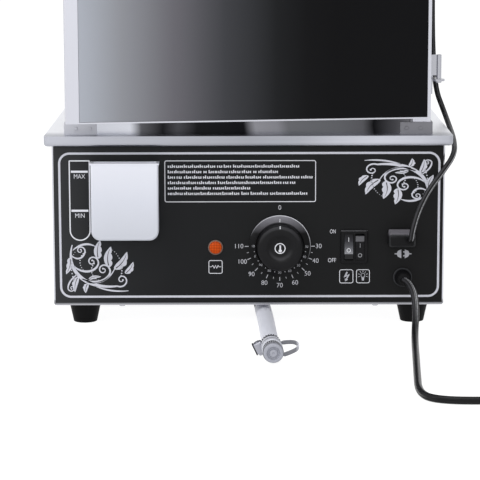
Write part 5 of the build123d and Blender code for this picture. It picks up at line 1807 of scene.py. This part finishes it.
        # Painted highlight: a pale line on the housing's rounded upper edge, where it catches light.
        line = self.printer.strips("housing_highlight", [points], 0.0)
        self.printer.drape(line, self.shop.node("switch_housing"), 0.08)
        self.fixed(line, Moulding("edge_highlight_grey", srgb(104, 104, 108), 0.4, 0.15))

    def gland(self) -> None:
        """Build the ribbed sleeve where the mains cord comes out, and a painted highlight in patches on the
        flange's edge.
        """
        sleeve = self.raised("gland_sleeve", self.gland_place, self.sleeve_rings, 64)
        self.fixed(sleeve, Moulding("sleeve_black", srgb(14, 14, 16), 0.5, 0.1))
        # Painted highlight: the flange's rim is a patchy paler grey where light catches it.
        rim = self.raised("gland_rim", self.gland_place, self.flange_rings, 96)
        self.fixed(rim, Moulding("gland_rim_highlight_grey", srgb(56, 57, 60), 0.45, 0.15, 0.00006, 110.0, 0.9))

    def rocker_marks(self, name: str, place: Triple, body: Body, ink: PrintInk) -> None:
        """Print the bar and the ring on a rocker.

        Args:
            name: which rocker it is.
            place: the marks' x, the bar's middle height and the ring's.
            body: the rocker's body.
            ink: the marks' ink.
        """
        x, bar_z, ring_z = place
        bar = [((x, bar_z + 2.0 - 0.4 * step), 0.5) for step in range(11)]
        circle = [(point, 0.6) for point in disc_outline(x, ring_z, 1.6, 32)]
        marks = [
            self.printer.strips(f"{name}_bar", [bar], 0.0),
            self.printer.strips(f"{name}_ring", [circle], 0.0, closed=True),
        ]
        for mark in marks:
            self.printer.drape(mark, self.shop.node(f"{name}_rocker"), 0.14)
        self.keep(joined(f"{name}_rocker_marks", marks), ink, "gloss_black", body)


@dataclass
class Plumbing(Assembly):
    """The water cup, the drain's fittings and the strap of its cap.

    Fittings are measured past the end of the hose, along its line, and rings are radius and height
    from there too.
    """

    hose_radius: float = 7.7
    # Painted light and shade: the cup is paler towards its top and darker towards its bottom.
    cup_painted_shading: Stops = tones((0.0, 198, 201, 210), (0.5, 214, 217, 227), (1.0, 235, 237, 246))
    clamp_reach: float = -5.5
    clamp_width: float = 9.0
    clamp_wall: float = 0.8
    clamp_gap: float = 0.05
    housing_place: Triple = (-5.0, -10.5, -1.8)
    housing_size: Triple = (8.0, 8.4, 10.5)
    housing_tilt: float = -26.0
    screw_rings: Rings = (
        (2.0, -5.8), (2.3, -5.6), (2.3, 5.2), (3.0, 5.3), (3.0, 6.7), (2.6, 7.0), (1.0, 7.0), (0.8, 6.5)
    )
    tail_middle: Triple = (-4.3, 0.0, 0.2)
    tail_size: Triple = (0.9, 7.4, 10.8)
    slot_reach: float = -8.4
    slot_radius: float = 8.5
    slot_size: Triple = (0.95, 2.4, 1.2)
    slot_count: int = 9
    first_slot: float = 30.0
    slot_step: float = 15.0
    cap_reach: float = 15.6
    cap_radius: float = 8.4
    cap_depth: float = 10.4
    knurl_depth: float = 0.9
    knurl_sides: int = 60
    disc_rings: Rings = (
        (6.6, 25.8), (7.6, 26.0), (7.6, 28.4), (8.1, 28.5), (8.5, 29.0), (8.5, 31.6), (8.3, 32.5),
        (7.7, 33.2), (6.8, 33.4), (6.0, 33.3), (5.5, 32.2), (5.2, 31.4), (4.0, 31.4), (3.6, 32.0),
        (3.1, 33.0), (2.2, 33.3), (1.2, 33.2), (0.8, 32.8),
    )
    strap_rings: tuple[Pair, Pair] = ((8.25, 8.1), (27.3, 7.9))
    strap_ring_size: Pair = (2.3, 1.2)
    strap_route: tuple[Triple, ...] = (
        (8.3, 7.4, 4.6), (8.2, 12.0, 5.2), (8.8, 16.6, 5.6), (10.6, 20.2, 5.4), (13.4, 22.2, 4.4),
        (16.4, 22.6, 3.0), (19.4, 21.4, 1.6), (22.2, 18.4, 0.4), (24.6, 14.4, -0.8), (26.4, 10.8, -1.8),
        (27.2, 8.4, -2.2),
    )
    strap_size: Pair = (3.6, 1.35)
    # Painted highlight: the strap turns pale at its far bend.
    strap_painted_highlight: Stops = tones((0.0, 124, 125, 131), (0.86, 130, 131, 137), (1.0, 206, 207, 214))

    def __post_init__(self) -> None:
        """Take the end of the hose as the fittings' line."""
        super().__post_init__()
        self.end = Vector(HOSE_ROUTE[-1])
        self.towards = (self.end - Vector(HOSE_ROUTE[-2])).normalized()
        self.turn = facing(self.towards)
        self.fittings: list[Piece] = []

    def build(self) -> list[Piece]:
        """Dress the cup and build the fittings.

        Returns:
            The fittings that hang on the end of the hose.
        """
        shop = self.shop
        low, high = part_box("water_box")
        # The cup's ramp is painted light and shade along its height.
        cup = PaintedShadingSurface(
            "cup_white", 2, (low[2] / MM, high[2] / MM), self.cup_painted_shading, 0.32, 0.4, 0.0, 600.0, 0.00001, 0.02
        )
        shop.dress(cup, "water_box")
        grey = Moulding("fitting_grey", srgb(200, 202, 211), 0.4, 0.3, 0.00003, 700.0, 0.04)
        shop.dress(grey, "drain_nozzle")
        shop.dress(Moulding("elbow_black", srgb(16, 16, 18), 0.45, 0.15), "drain_elbow")
        shop.dress(Moulding("fill_hose_black", srgb(40, 40, 42), 0.5, 0.3), "fill_hose")
        self.clamp()
        self.cap()
        self.strap()
        return self.fittings

    def along(self, reach: float, x: float = 0.0, up: float = 0.0) -> Vector:
        """Return a place past the end of the hose, in metres from millimetres."""
        return self.end + self.towards * reach * MM + Vector((x, 0.0, up)) * MM

    def fit(self, piece: Piece, finish: Any, slot: str, node: str, body: Body = Body.STEAMER) -> None:
        """Keep a fitting in place of its plain node.

        Args:
            piece: the fitting.
            finish: its finish.
            slot: the record's material slot, handed on to keep.
            node: the plain node.
            body: the body that carries it.
        """
        self.keep(piece, finish, slot, body)
        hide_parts(node)
        self.fittings.append(piece)

    def clamp(self) -> None:
        """Build the worm clamp: band, housing, screw, and the slots and the band's tail, which are dark for
        painted shade.
        """
        band = hoop(self.hose_radius + self.clamp_gap, self.clamp_width, self.clamp_wall, 72)
        modified(band, "BEVEL", width=0.2 * MM, segments=2)
        smooth(placed(band, self.turn, self.along(self.clamp_reach)))
        house = slab("house", Vector(ORIGIN), self.housing_size, 1.5)
        screw = grown("screw", Vector(ORIGIN), (0.0, 0.0, -1.0), self.screw_rings, 24)
        tail = slab("tail", Vector(self.tail_middle) * MM, self.tail_size, 0.3, 2)
        for piece in (house, screw, tail):
            placed(piece, (0.0, math.radians(self.housing_tilt), 0.0), self.along(*self.housing_place))
        metal = PolishedSteel("clamp_steel", srgb(168, 169, 178), 0.34)
        clamp = joined("clamp_band", [band, house, screw])
        self.fit(clamp, metal, "polished_steel", "hose_clamp")
        slots = []
        for number in range(self.slot_count):
            angle = math.radians(self.first_slot + self.slot_step * number)
            x, up = around((0.0, 0.0), self.slot_radius, angle)
            slot = slab("slot", Vector(ORIGIN), self.slot_size, 0.2, 1)
            slots.append(placed(slot, (0.0, math.pi / 2 - angle, 0.0), self.along(self.slot_reach, x, up)))
        # Painted shade: the slots and the band's tail are dark pieces where the clamp shows shade.
        dark = Moulding("slot_painted_shade", srgb(58, 59, 64), 0.5, 0.2)
        self.keep(joined("clamp_slots", slots + [tail]), dark, "polished_steel")

    def cap(self) -> None:
        """Build the cap: a knurled skirt and a disc with a raised middle."""
        only_none()
        bpy.ops.mesh.primitive_cylinder_add(
            vertices=self.knurl_sides, radius=self.cap_radius * MM, depth=self.cap_depth * MM
        )
        skirt = bpy.context.active_object
        bpy.ops.object.mode_set(mode="EDIT")
        bpy.ops.mesh.select_mode(type="FACE")
        shape = bmesh.from_edit_mesh(skirt.data)
        middles = {face: face.calc_center_median() for face in shape.faces if abs(face.normal.z) < 0.5}
        sides = sorted(middles, key=lambda face: math.atan2(middles[face].y, middles[face].x))
        for face in shape.faces:
            face.select = False
        for face in sides[::2]:
            face.select = True
        bmesh.update_edit_mesh(skirt.data)
        inward = {"value": -self.knurl_depth * MM}
        bpy.ops.mesh.extrude_region_shrink_fatten(TRANSFORM_OT_shrink_fatten=inward)
        bpy.ops.object.mode_set(mode="OBJECT")
        skirt.name = "cap_skirt"
        placed(skirt, self.turn, self.along(self.cap_reach + self.cap_depth / 2))
        knurls = KnurledGrip("knurl_grey", self.end, self.towards, self.knurl_sides // 2)
        self.fit(skirt, knurls, "grey_plastic", "drain_cap", Body.CAP)
        disc = grown("cap_disc", self.along(0.0), self.towards, self.disc_rings, 72)
        grey = Moulding("cap_grey", srgb(164, 166, 176), 0.42, 0.3)
        self.fit(disc, grey, "grey_plastic", "drain_cap", Body.CAP)

    def strap(self) -> None:
        """Build the strap: a ring on the nozzle, a ring on the cap and the loop between them."""
        rings = []
        for reach, radius in self.strap_rings:
            ring = hoop(radius, *self.strap_ring_size, 64)
            rings.append(smooth(placed(ring, self.turn, self.along(reach))))
        loop = self.ribbon("loop", [self.along(*place) for place in self.strap_route], *self.strap_size)
        strap = joined("strap_loop", [loop, *rings])
        grey = PaintedShadingSurface("strap_grey", 0, (26.0, 42.2), self.strap_painted_highlight, 0.5, 0.3)
        self.fit(strap, grey, "grey_plastic", "cap_strap")

    @staticmethod
    def ribbon(name: str, places: Sequence[Vector], width: float, thickness: float) -> Piece:
        """Make a flat band that stands upright along a line.

        Args:
            name: the piece's name.
            places: the line's points, in metres.
            width: how high it stands, in millimetres.
            thickness: how thick it is, in millimetres.

        Returns:
            The band.
        """
        shape = bmesh.new()
        columns = []
        for number, place in enumerate(places):
            ahead = (places[min(number + 1, len(places) - 1)] - places[max(number - 1, 0)]).normalized()
            up = Vector((0.0, 0.0, 1.0))
            up = (up - ahead * up.dot(ahead)).normalized()
            columns.append([shape.verts.new(place + up * width / 2 * MM * share) for share in (-1.0, 1.0)])
        bridge(shape, columns)
        piece = meshed(name, shape)
        modified(piece, "SUBSURF", levels=2, render_levels=2)
        modified(piece, "SOLIDIFY", thickness=thickness * MM, offset=0.0)
        return smooth(modified(piece, "BEVEL", width=0.35 * MM, segments=2))


@dataclass
class Shell(Assembly):
    """The base, the deck and the cabinet, mostly carried-over sheet metal."""

    # Painted reflection across the deck, as shares of its colour.
    deck_painted_shading: tuple[Pair, ...] = (
        (0.0, 0.86), (0.12, 0.78), (0.3, 0.71), (0.5, 0.59), (0.63, 0.67), (0.72, 0.84), (0.83, 0.95),
        (0.94, 0.9), (1.0, 0.76),
    )
    deck_rim: float = 12.0
    deck_fold: float = 0.4
    # Painted shade on the base, darker towards its bottom edge.
    base_painted_shading: tuple[Pair, ...] = ((0.0, 0.3), (0.3, 0.36), (0.55, 0.44), (0.8, 0.56), (1.0, 1.0))
    base_painted_shading_span: Pair = (18.5, 24.0)
    bracket_span: Pair = (-171.0, 171.0)
    # Painted reflection: the brackets are paler on the left and darker on the right.
    bracket_painted_reflection: Stops = tones(
        (0.0, 186, 187, 194), (0.12, 176, 177, 184), (0.5, 150, 150, 156), (0.88, 124, 124, 129),
        (1.0, 120, 120, 125),
    )
    rivet_rings: Rings = ((1.7, 0.0), (1.6, 0.12), (1.2, 0.16))
    rivet_height: float = 1.2
    pin_round: float = 0.3

    def build(self) -> None:
        """Dress the sheet metal, the glass and the inner pieces."""
        self.base()
        self.brackets()
        self.cabinet()
        self.inside()

    def base(self) -> None:
        """Dress the base with its deck, floor, feet and screws."""
        shop = self.shop
        low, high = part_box("deck_tray")
        # The deck's rim gets a painted highlight behind and above this place.
        rim = (low[1] / MM + self.deck_rim, high[2] / MM - self.deck_fold)
        deck = BrushedSteel(
            "deck_brushed", Grain.ACROSS, srgb(192, 194, 203), 0.36, 0.16,
            painted_shading=self.deck_painted_shading, highlight_from=rim,
        )
        shop.dress(deck, "deck_tray")
        wrapper = BrushedSteel(
            "base_brushed", Grain.LEVEL, srgb(204, 205, 212), 0.33,
            axis=2, span=self.base_painted_shading_span, painted_shading=self.base_painted_shading,
        )
        shop.dress(wrapper, "base_body")
        plate = BrushedSteel("floor_plate", tone=srgb(170, 170, 176), roughness=0.42)
        shop.dress(plate, "base_floor", "ceiling_plate")
        shop.dress(Moulding("foot_rubber", srgb(14, 14, 15), 0.55, 0.08, 0.00008, 500.0, 0.12), "feet")
        shop.dress(PolishedSteel("screw_bright", srgb(196, 197, 202), 0.25), "base_screws", "cover_screws")

    def brackets(self) -> None:
        """Dress the brackets, build their rivets and dress the rail between them."""
        satin = PaintedShadingSurface(
            "bracket_satin", 0, self.bracket_span, self.bracket_painted_reflection, 0.46, 0.4, 1.0, 500.0, 0.00003, 0.02
        )
        self.shop.dress(satin, "corner_brackets")
        self.rivets(satin)
        self.shop.dress(MirrorRail("rail_polished"), "lower_rails")

    def cabinet(self) -> None:
        """Dress the cabinet's posts, door, glass, shelves and cover."""
        dress = self.shop.dress
        dress(BrushedSteel("wall_brushed", Grain.LEVEL, srgb(204, 205, 212), 0.33), "top_cover")
        dress(BrushedSteel("post_brushed", Grain.UPRIGHT, srgb(198, 199, 208)), "corner_posts", "upper_rails")
        dress(BrushedSteel("door_satin", Grain.UPRIGHT, srgb(196, 197, 205), 0.4, 0.04), "door_frame")
        dress(PolishedSteel("hinge_steel", srgb(178, 179, 186), 0.22), "hinge_brackets", "hinge_leaves")
        dress(PolishedSteel("handle_bright", srgb(206, 207, 214), 0.16), "door_handle")
        dress(Moulding("seal_rubber", srgb(170, 172, 176), 0.55, 0.3), "door_seal")
        dress(DarkGlassPaintedReflection("door_glass_painted_reflection"), "door_glass")
        dress(ClearGlass("pane_clear"), "left_glass", "right_glass", "back_glass")
        dress(PolishedSteel("wire_bright"), *(f"shelf_{number}" for number in range(1, 5)), "shelf_ladders")

    def inside(self) -> None:
        """Dress the lamp, the tank and what heats it."""
        dress = self.shop.dress
        dress(Moulding("lamp_tube_white", srgb(240, 240, 236), 0.3), "lamp_tube")
        dress(ClearGlass("lamp_cover_frosted", srgb(240, 240, 238), 0.6), "lamp_cover")
        dress(Moulding("holder_white", srgb(220, 220, 220), 0.5, 0.3), "lamp_holders")
        dress(BrushedSteel("tank_steel", Grain.ACROSS, srgb(186, 187, 192), 0.3), "water_tank", "steam_plate")
        dull = PolishedSteel("element_dull", srgb(120, 112, 104), 0.35)
        dress(dull, "heating_element", "thermostat_bulb", "thermostat_shaft")
        black = Moulding("inner_black", srgb(30, 30, 32), 0.5, 0.3)
        dress(black, "thermal_cutout", "thermostat_body", "top_boot")

    def rivets(self, finish: Any) -> None:
        """Build nearly flush rivets in the brackets, and the pin that the door rides over.

        Args:
            finish: the brackets' finish.
        """
        low, high = (Vector(corner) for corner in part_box("bracket_rivets"))
        pieces = []
        for start, end in self.lumps(self.shop.node("bracket_rivets")):
            size = end - start
            axis = min(range(3), key=lambda k: abs(size[(k + 1) % 3] - size[(k + 2) % 3]))
            way = 1.0 if axis == 2 or (start + end)[axis] > (low + high)[axis] else -1.0
            place = (start + end) / 2
            place[axis] = start[axis] if way > 0 else end[axis]
            towards = Vector(ORIGIN)
            towards[axis] = way
            rings = self.rivet_rings
            height = size[axis] / MM
            if height >= self.rivet_height:
                radius = size[(axis + 1) % 3] / MM / 2
                rings = ((radius, 0.0), (radius, height - self.pin_round), (radius - self.pin_round, height))
            pieces.append(grown("rivet", place, towards, rings, 32))
        rivets = joined("flush_rivets", pieces)
        self.keep(rivets, finish, "polished_steel")
        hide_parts("bracket_rivets")

    @staticmethod
    def lumps(piece: Piece) -> list[tuple[Vector, Vector]]:
        """Return the box of each loose part of a piece.

        Args:
            piece: the piece.

        Returns:
            The low and the high corner of each box, in metres.
        """
        shape = bmesh.new()
        shape.from_mesh(piece.data)
        left = set(shape.verts)
        boxes = []
        while left:
            reached = [left.pop()]
            places = []
            while reached:
                vertex = reached.pop()
                places.append(piece.matrix_world @ vertex.co)
                others = {edge.other_vert(vertex) for edge in vertex.link_edges} & left
                left -= others
                reached += others
            sides = list(zip(*places))
            boxes.append((Vector([min(side) for side in sides]), Vector([max(side) for side in sides])))
        shape.free()
        return boxes


# Routes of the cords and the hose, in metres.
LIGHT_ROUTE = (
    (0.1487, -0.16302, 0.0847), (0.1487, -0.17102, 0.0847), (0.1496, -0.17502, 0.0955),
    (0.1548, -0.17102, 0.112), (0.1646, -0.16202, 0.1295), (0.1785, -0.15152, 0.145),
    (0.191, -0.13552, 0.1595), (0.1938, -0.10002, 0.1685), (0.1934, -0.05602, 0.1765),
    (0.1898, -0.02802, 0.19), (0.1834, -0.01552, 0.208), (0.1806, -0.00902, 0.247),
    (0.1798, -0.00602, 0.306), (0.1802, -0.00642, 0.382), (0.181, -0.00622, 0.459),
    (0.1822, -0.00522, 0.535), (0.1825, -0.00502, 0.611),
)
MAINS_ROUTE = (
    (0.1434, -0.15202, 0.0449), (0.1434, -0.16102, 0.0449), (0.1474, -0.17302, 0.0441),
    (0.1512, -0.18702, 0.037), (0.1516, -0.19802, 0.0215), (0.1494, -0.21402, 0.0086),
    (0.1472, -0.24402, 0.0033), (0.1436, -0.30002, 0.0033), (0.1396, -0.36002, 0.0033),
    (0.1356, -0.42402, 0.0033), (0.146, -0.45002, 0.0033), (0.19, -0.45402, 0.0033),
    (0.232, -0.44242, 0.0033), (0.252, -0.44102, 0.0033),
)
HOSE_ROUTE = (
    (0.0135, -0.10202, 0.0078), (0.015, -0.13402, 0.00775), (0.0161, -0.16802, 0.0078),
    (0.017, -0.20502, 0.008), (0.018, -0.24402, 0.0086), (0.0193, -0.27802, 0.0094),
)


@dataclass
class Cords(Assembly):
    """The two cords and the drain hose, each one smooth line."""

    fittings: list[Piece]
    plug: Piece
    mains_radius: float = 3.2
    light_radius: float = 2.6
    hose_radius: float = 7.7
    coil_centre: Pair = (252.0, -256.0)
    coil_radius: float = 45.0
    coil_turns: float = 4.25
    turn_gap: float = 0.7
    layer_gap: float = 0.6
    climb: float = 0.5
    points_a_turn: int = 16
    mains_tail: tuple[Triple, ...] = ((297.4, -240.0, 10.2), (297.5, -226.0, 9.0), (297.5, -214.0, 8.2))
    tie_angle: float = 140.0
    tie_width: float = 7.0
    tie_wall: float = 1.1
    tie_corner: float = 5.0

    def build(self) -> None:
        """Lay the three lines and tie the coil."""
        self.light()
        self.mains()
        self.hose()
        self.tie()

    def line(self, name: str, route: Sequence[Vector], radius: float) -> Piece:
        """Lay a round cord along its route.

        Args:
            name: the cord's name.
            route: the route's points, in metres.
            radius: the cord's radius in millimetres.

        Returns:
            The cord.
        """
        data = bpy.data.curves.new(name, "CURVE")
        data.dimensions = "3D"
        data.resolution_u = 10
        data.bevel_depth = radius * MM
        data.bevel_resolution = 8
        data.use_fill_caps = True
        spline = data.splines.new("NURBS")
        spline.points.add(len(route) - 1)
        for point, place in zip(spline.points, route):
            point.co = (*place, 1.0)
        spline.order_u = 3
        spline.use_endpoint_u = True
        piece = bpy.data.objects.new(name, data)
        bpy.context.collection.objects.link(piece)
        return piece

    def light(self) -> None:
        """Lay the light cord from the plug up the right side."""
        light = self.line("light_lead", [Vector(point) for point in LIGHT_ROUTE], self.light_radius)
        self.keep(light, CordSheath("cord_black", 0.6, 0.78), "cord_black")
        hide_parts("light_cord")

    def mains(self) -> None:
        """Lay the mains cord with its coil, and dress its plug."""
        shop = self.shop
        tail = [shop.at(*place) for place in self.mains_tail]
        route = [Vector(point) for point in MAINS_ROUTE] + self.coil_points() + tail
        mains = self.line("mains_lead", route, self.mains_radius)
        self.keep(mains, CordSheath("mains_black", 0.34, 0.15), "cord_black")
        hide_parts("mains_cord", "mains_coil")
        shop.node("mains_plug")
        shop.dress(Moulding("plug_black", srgb(26, 26, 28), 0.4), "mains_plug")

    def hose(self) -> None:
        """Lay the drain hose from the elbow to the clamp."""
        hose = self.line("drain_pipe", [Vector(point) for point in HOSE_ROUTE], self.hose_radius)
        pale = Moulding("hose_pale", srgb(224, 226, 236), 0.4, 0.3, 0.00004, 500.0, 0.04)
        self.keep(hose, pale, "grey_plastic")
        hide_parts("drain_hose")
        self.shop.node("drain_nozzle")

    def coil_points(self) -> list[Vector]:
        """Return the coil's points: in to the middle on one layer, and out on the next."""
        middle = self.coil_turns / 2
        step = 2 * self.mains_radius + self.turn_gap
        lift = 2 * self.mains_radius + self.layer_gap
        low = MAINS_ROUTE[-1][2] / MM
        widen = 1 / math.cos(math.pi / self.points_a_turn) ** 0.75
        count = round(self.coil_turns * self.points_a_turn)
        points = []
        for number in range(1, count + 1):
            turn = self.coil_turns * number / count
            away = turn - middle
            radius = (self.coil_radius - step * (middle - abs(away))) * widen
            x, behind = around(self.coil_centre, radius, -math.pi / 2 + 2 * math.pi * turn)
            share = min(max(away / self.climb + 0.5, 0.0), 1.0)
            points.append(self.shop.at(x, behind, low + lift * (1 - math.cos(math.pi * share)) / 2))
        return points

    def tie(self) -> None:
        """Build the strip that holds the coil together."""
        only_none()
        angle = math.radians(self.tie_angle)
        bundle = (2 * self.mains_radius + self.turn_gap) * self.coil_turns / 4
        half = bundle + self.mains_radius + 1.2
        rise = 4 * self.mains_radius + self.layer_gap + 0.5
        x, behind = around(self.coil_centre, self.coil_radius - bundle - 0.6, angle)
        size = (2 * half * MM, self.tie_width * MM, rise * MM)
        bpy.ops.mesh.primitive_cube_add(size=1.0, location=ORIGIN, scale=size)
        strip = settle(bpy.context.active_object)
        strip.name = "coil_tie"
        shape = bmesh.new()
        shape.from_mesh(strip.data)
        ends = [face for face in shape.faces if abs(face.normal.y) > 0.5 or face.normal.z < -0.5]
        bmesh.ops.delete(shape, geom=ends, context="FACES")
        corners = [edge for edge in shape.edges if not edge.is_boundary]
        corner = self.tie_corner * MM
        bmesh.ops.bevel(shape, geom=corners, offset=corner, segments=6, affect="EDGES", profile=0.5)
        shape.to_mesh(strip.data)
        shape.free()
        modified(strip, "SOLIDIFY", thickness=self.tie_wall * MM, offset=1.0)
        modified(strip, "BEVEL", width=0.25 * MM, segments=2)
        smooth(placed(strip, (0.0, 0.0, angle), self.shop.at(x, behind, rise / 2 + 0.05)))
        self.keep(strip, Moulding("tie_black", srgb(18, 18, 20), 0.6, 0.25), "cord_black")


def main() -> None:
    """Build the studio and dress the steamer."""
    logging.basicConfig(level=logging.INFO, format="%(message)s")
    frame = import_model()
    bpy.ops.object.select_all(action="DESELECT")
    panel_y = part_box("front_panel")[0][1]
    shop = Workshop(frame, panel_y)
    Studio(panel_y).build()
    Shell(shop).build()
    ControlPanel(shop).build()
    Dial(shop).build()
    plug = Controls(shop).build()
    fittings = Plumbing(shop).build()
    Cords(shop, fittings, plug).build()


if __name__ == "__main__":
    main()
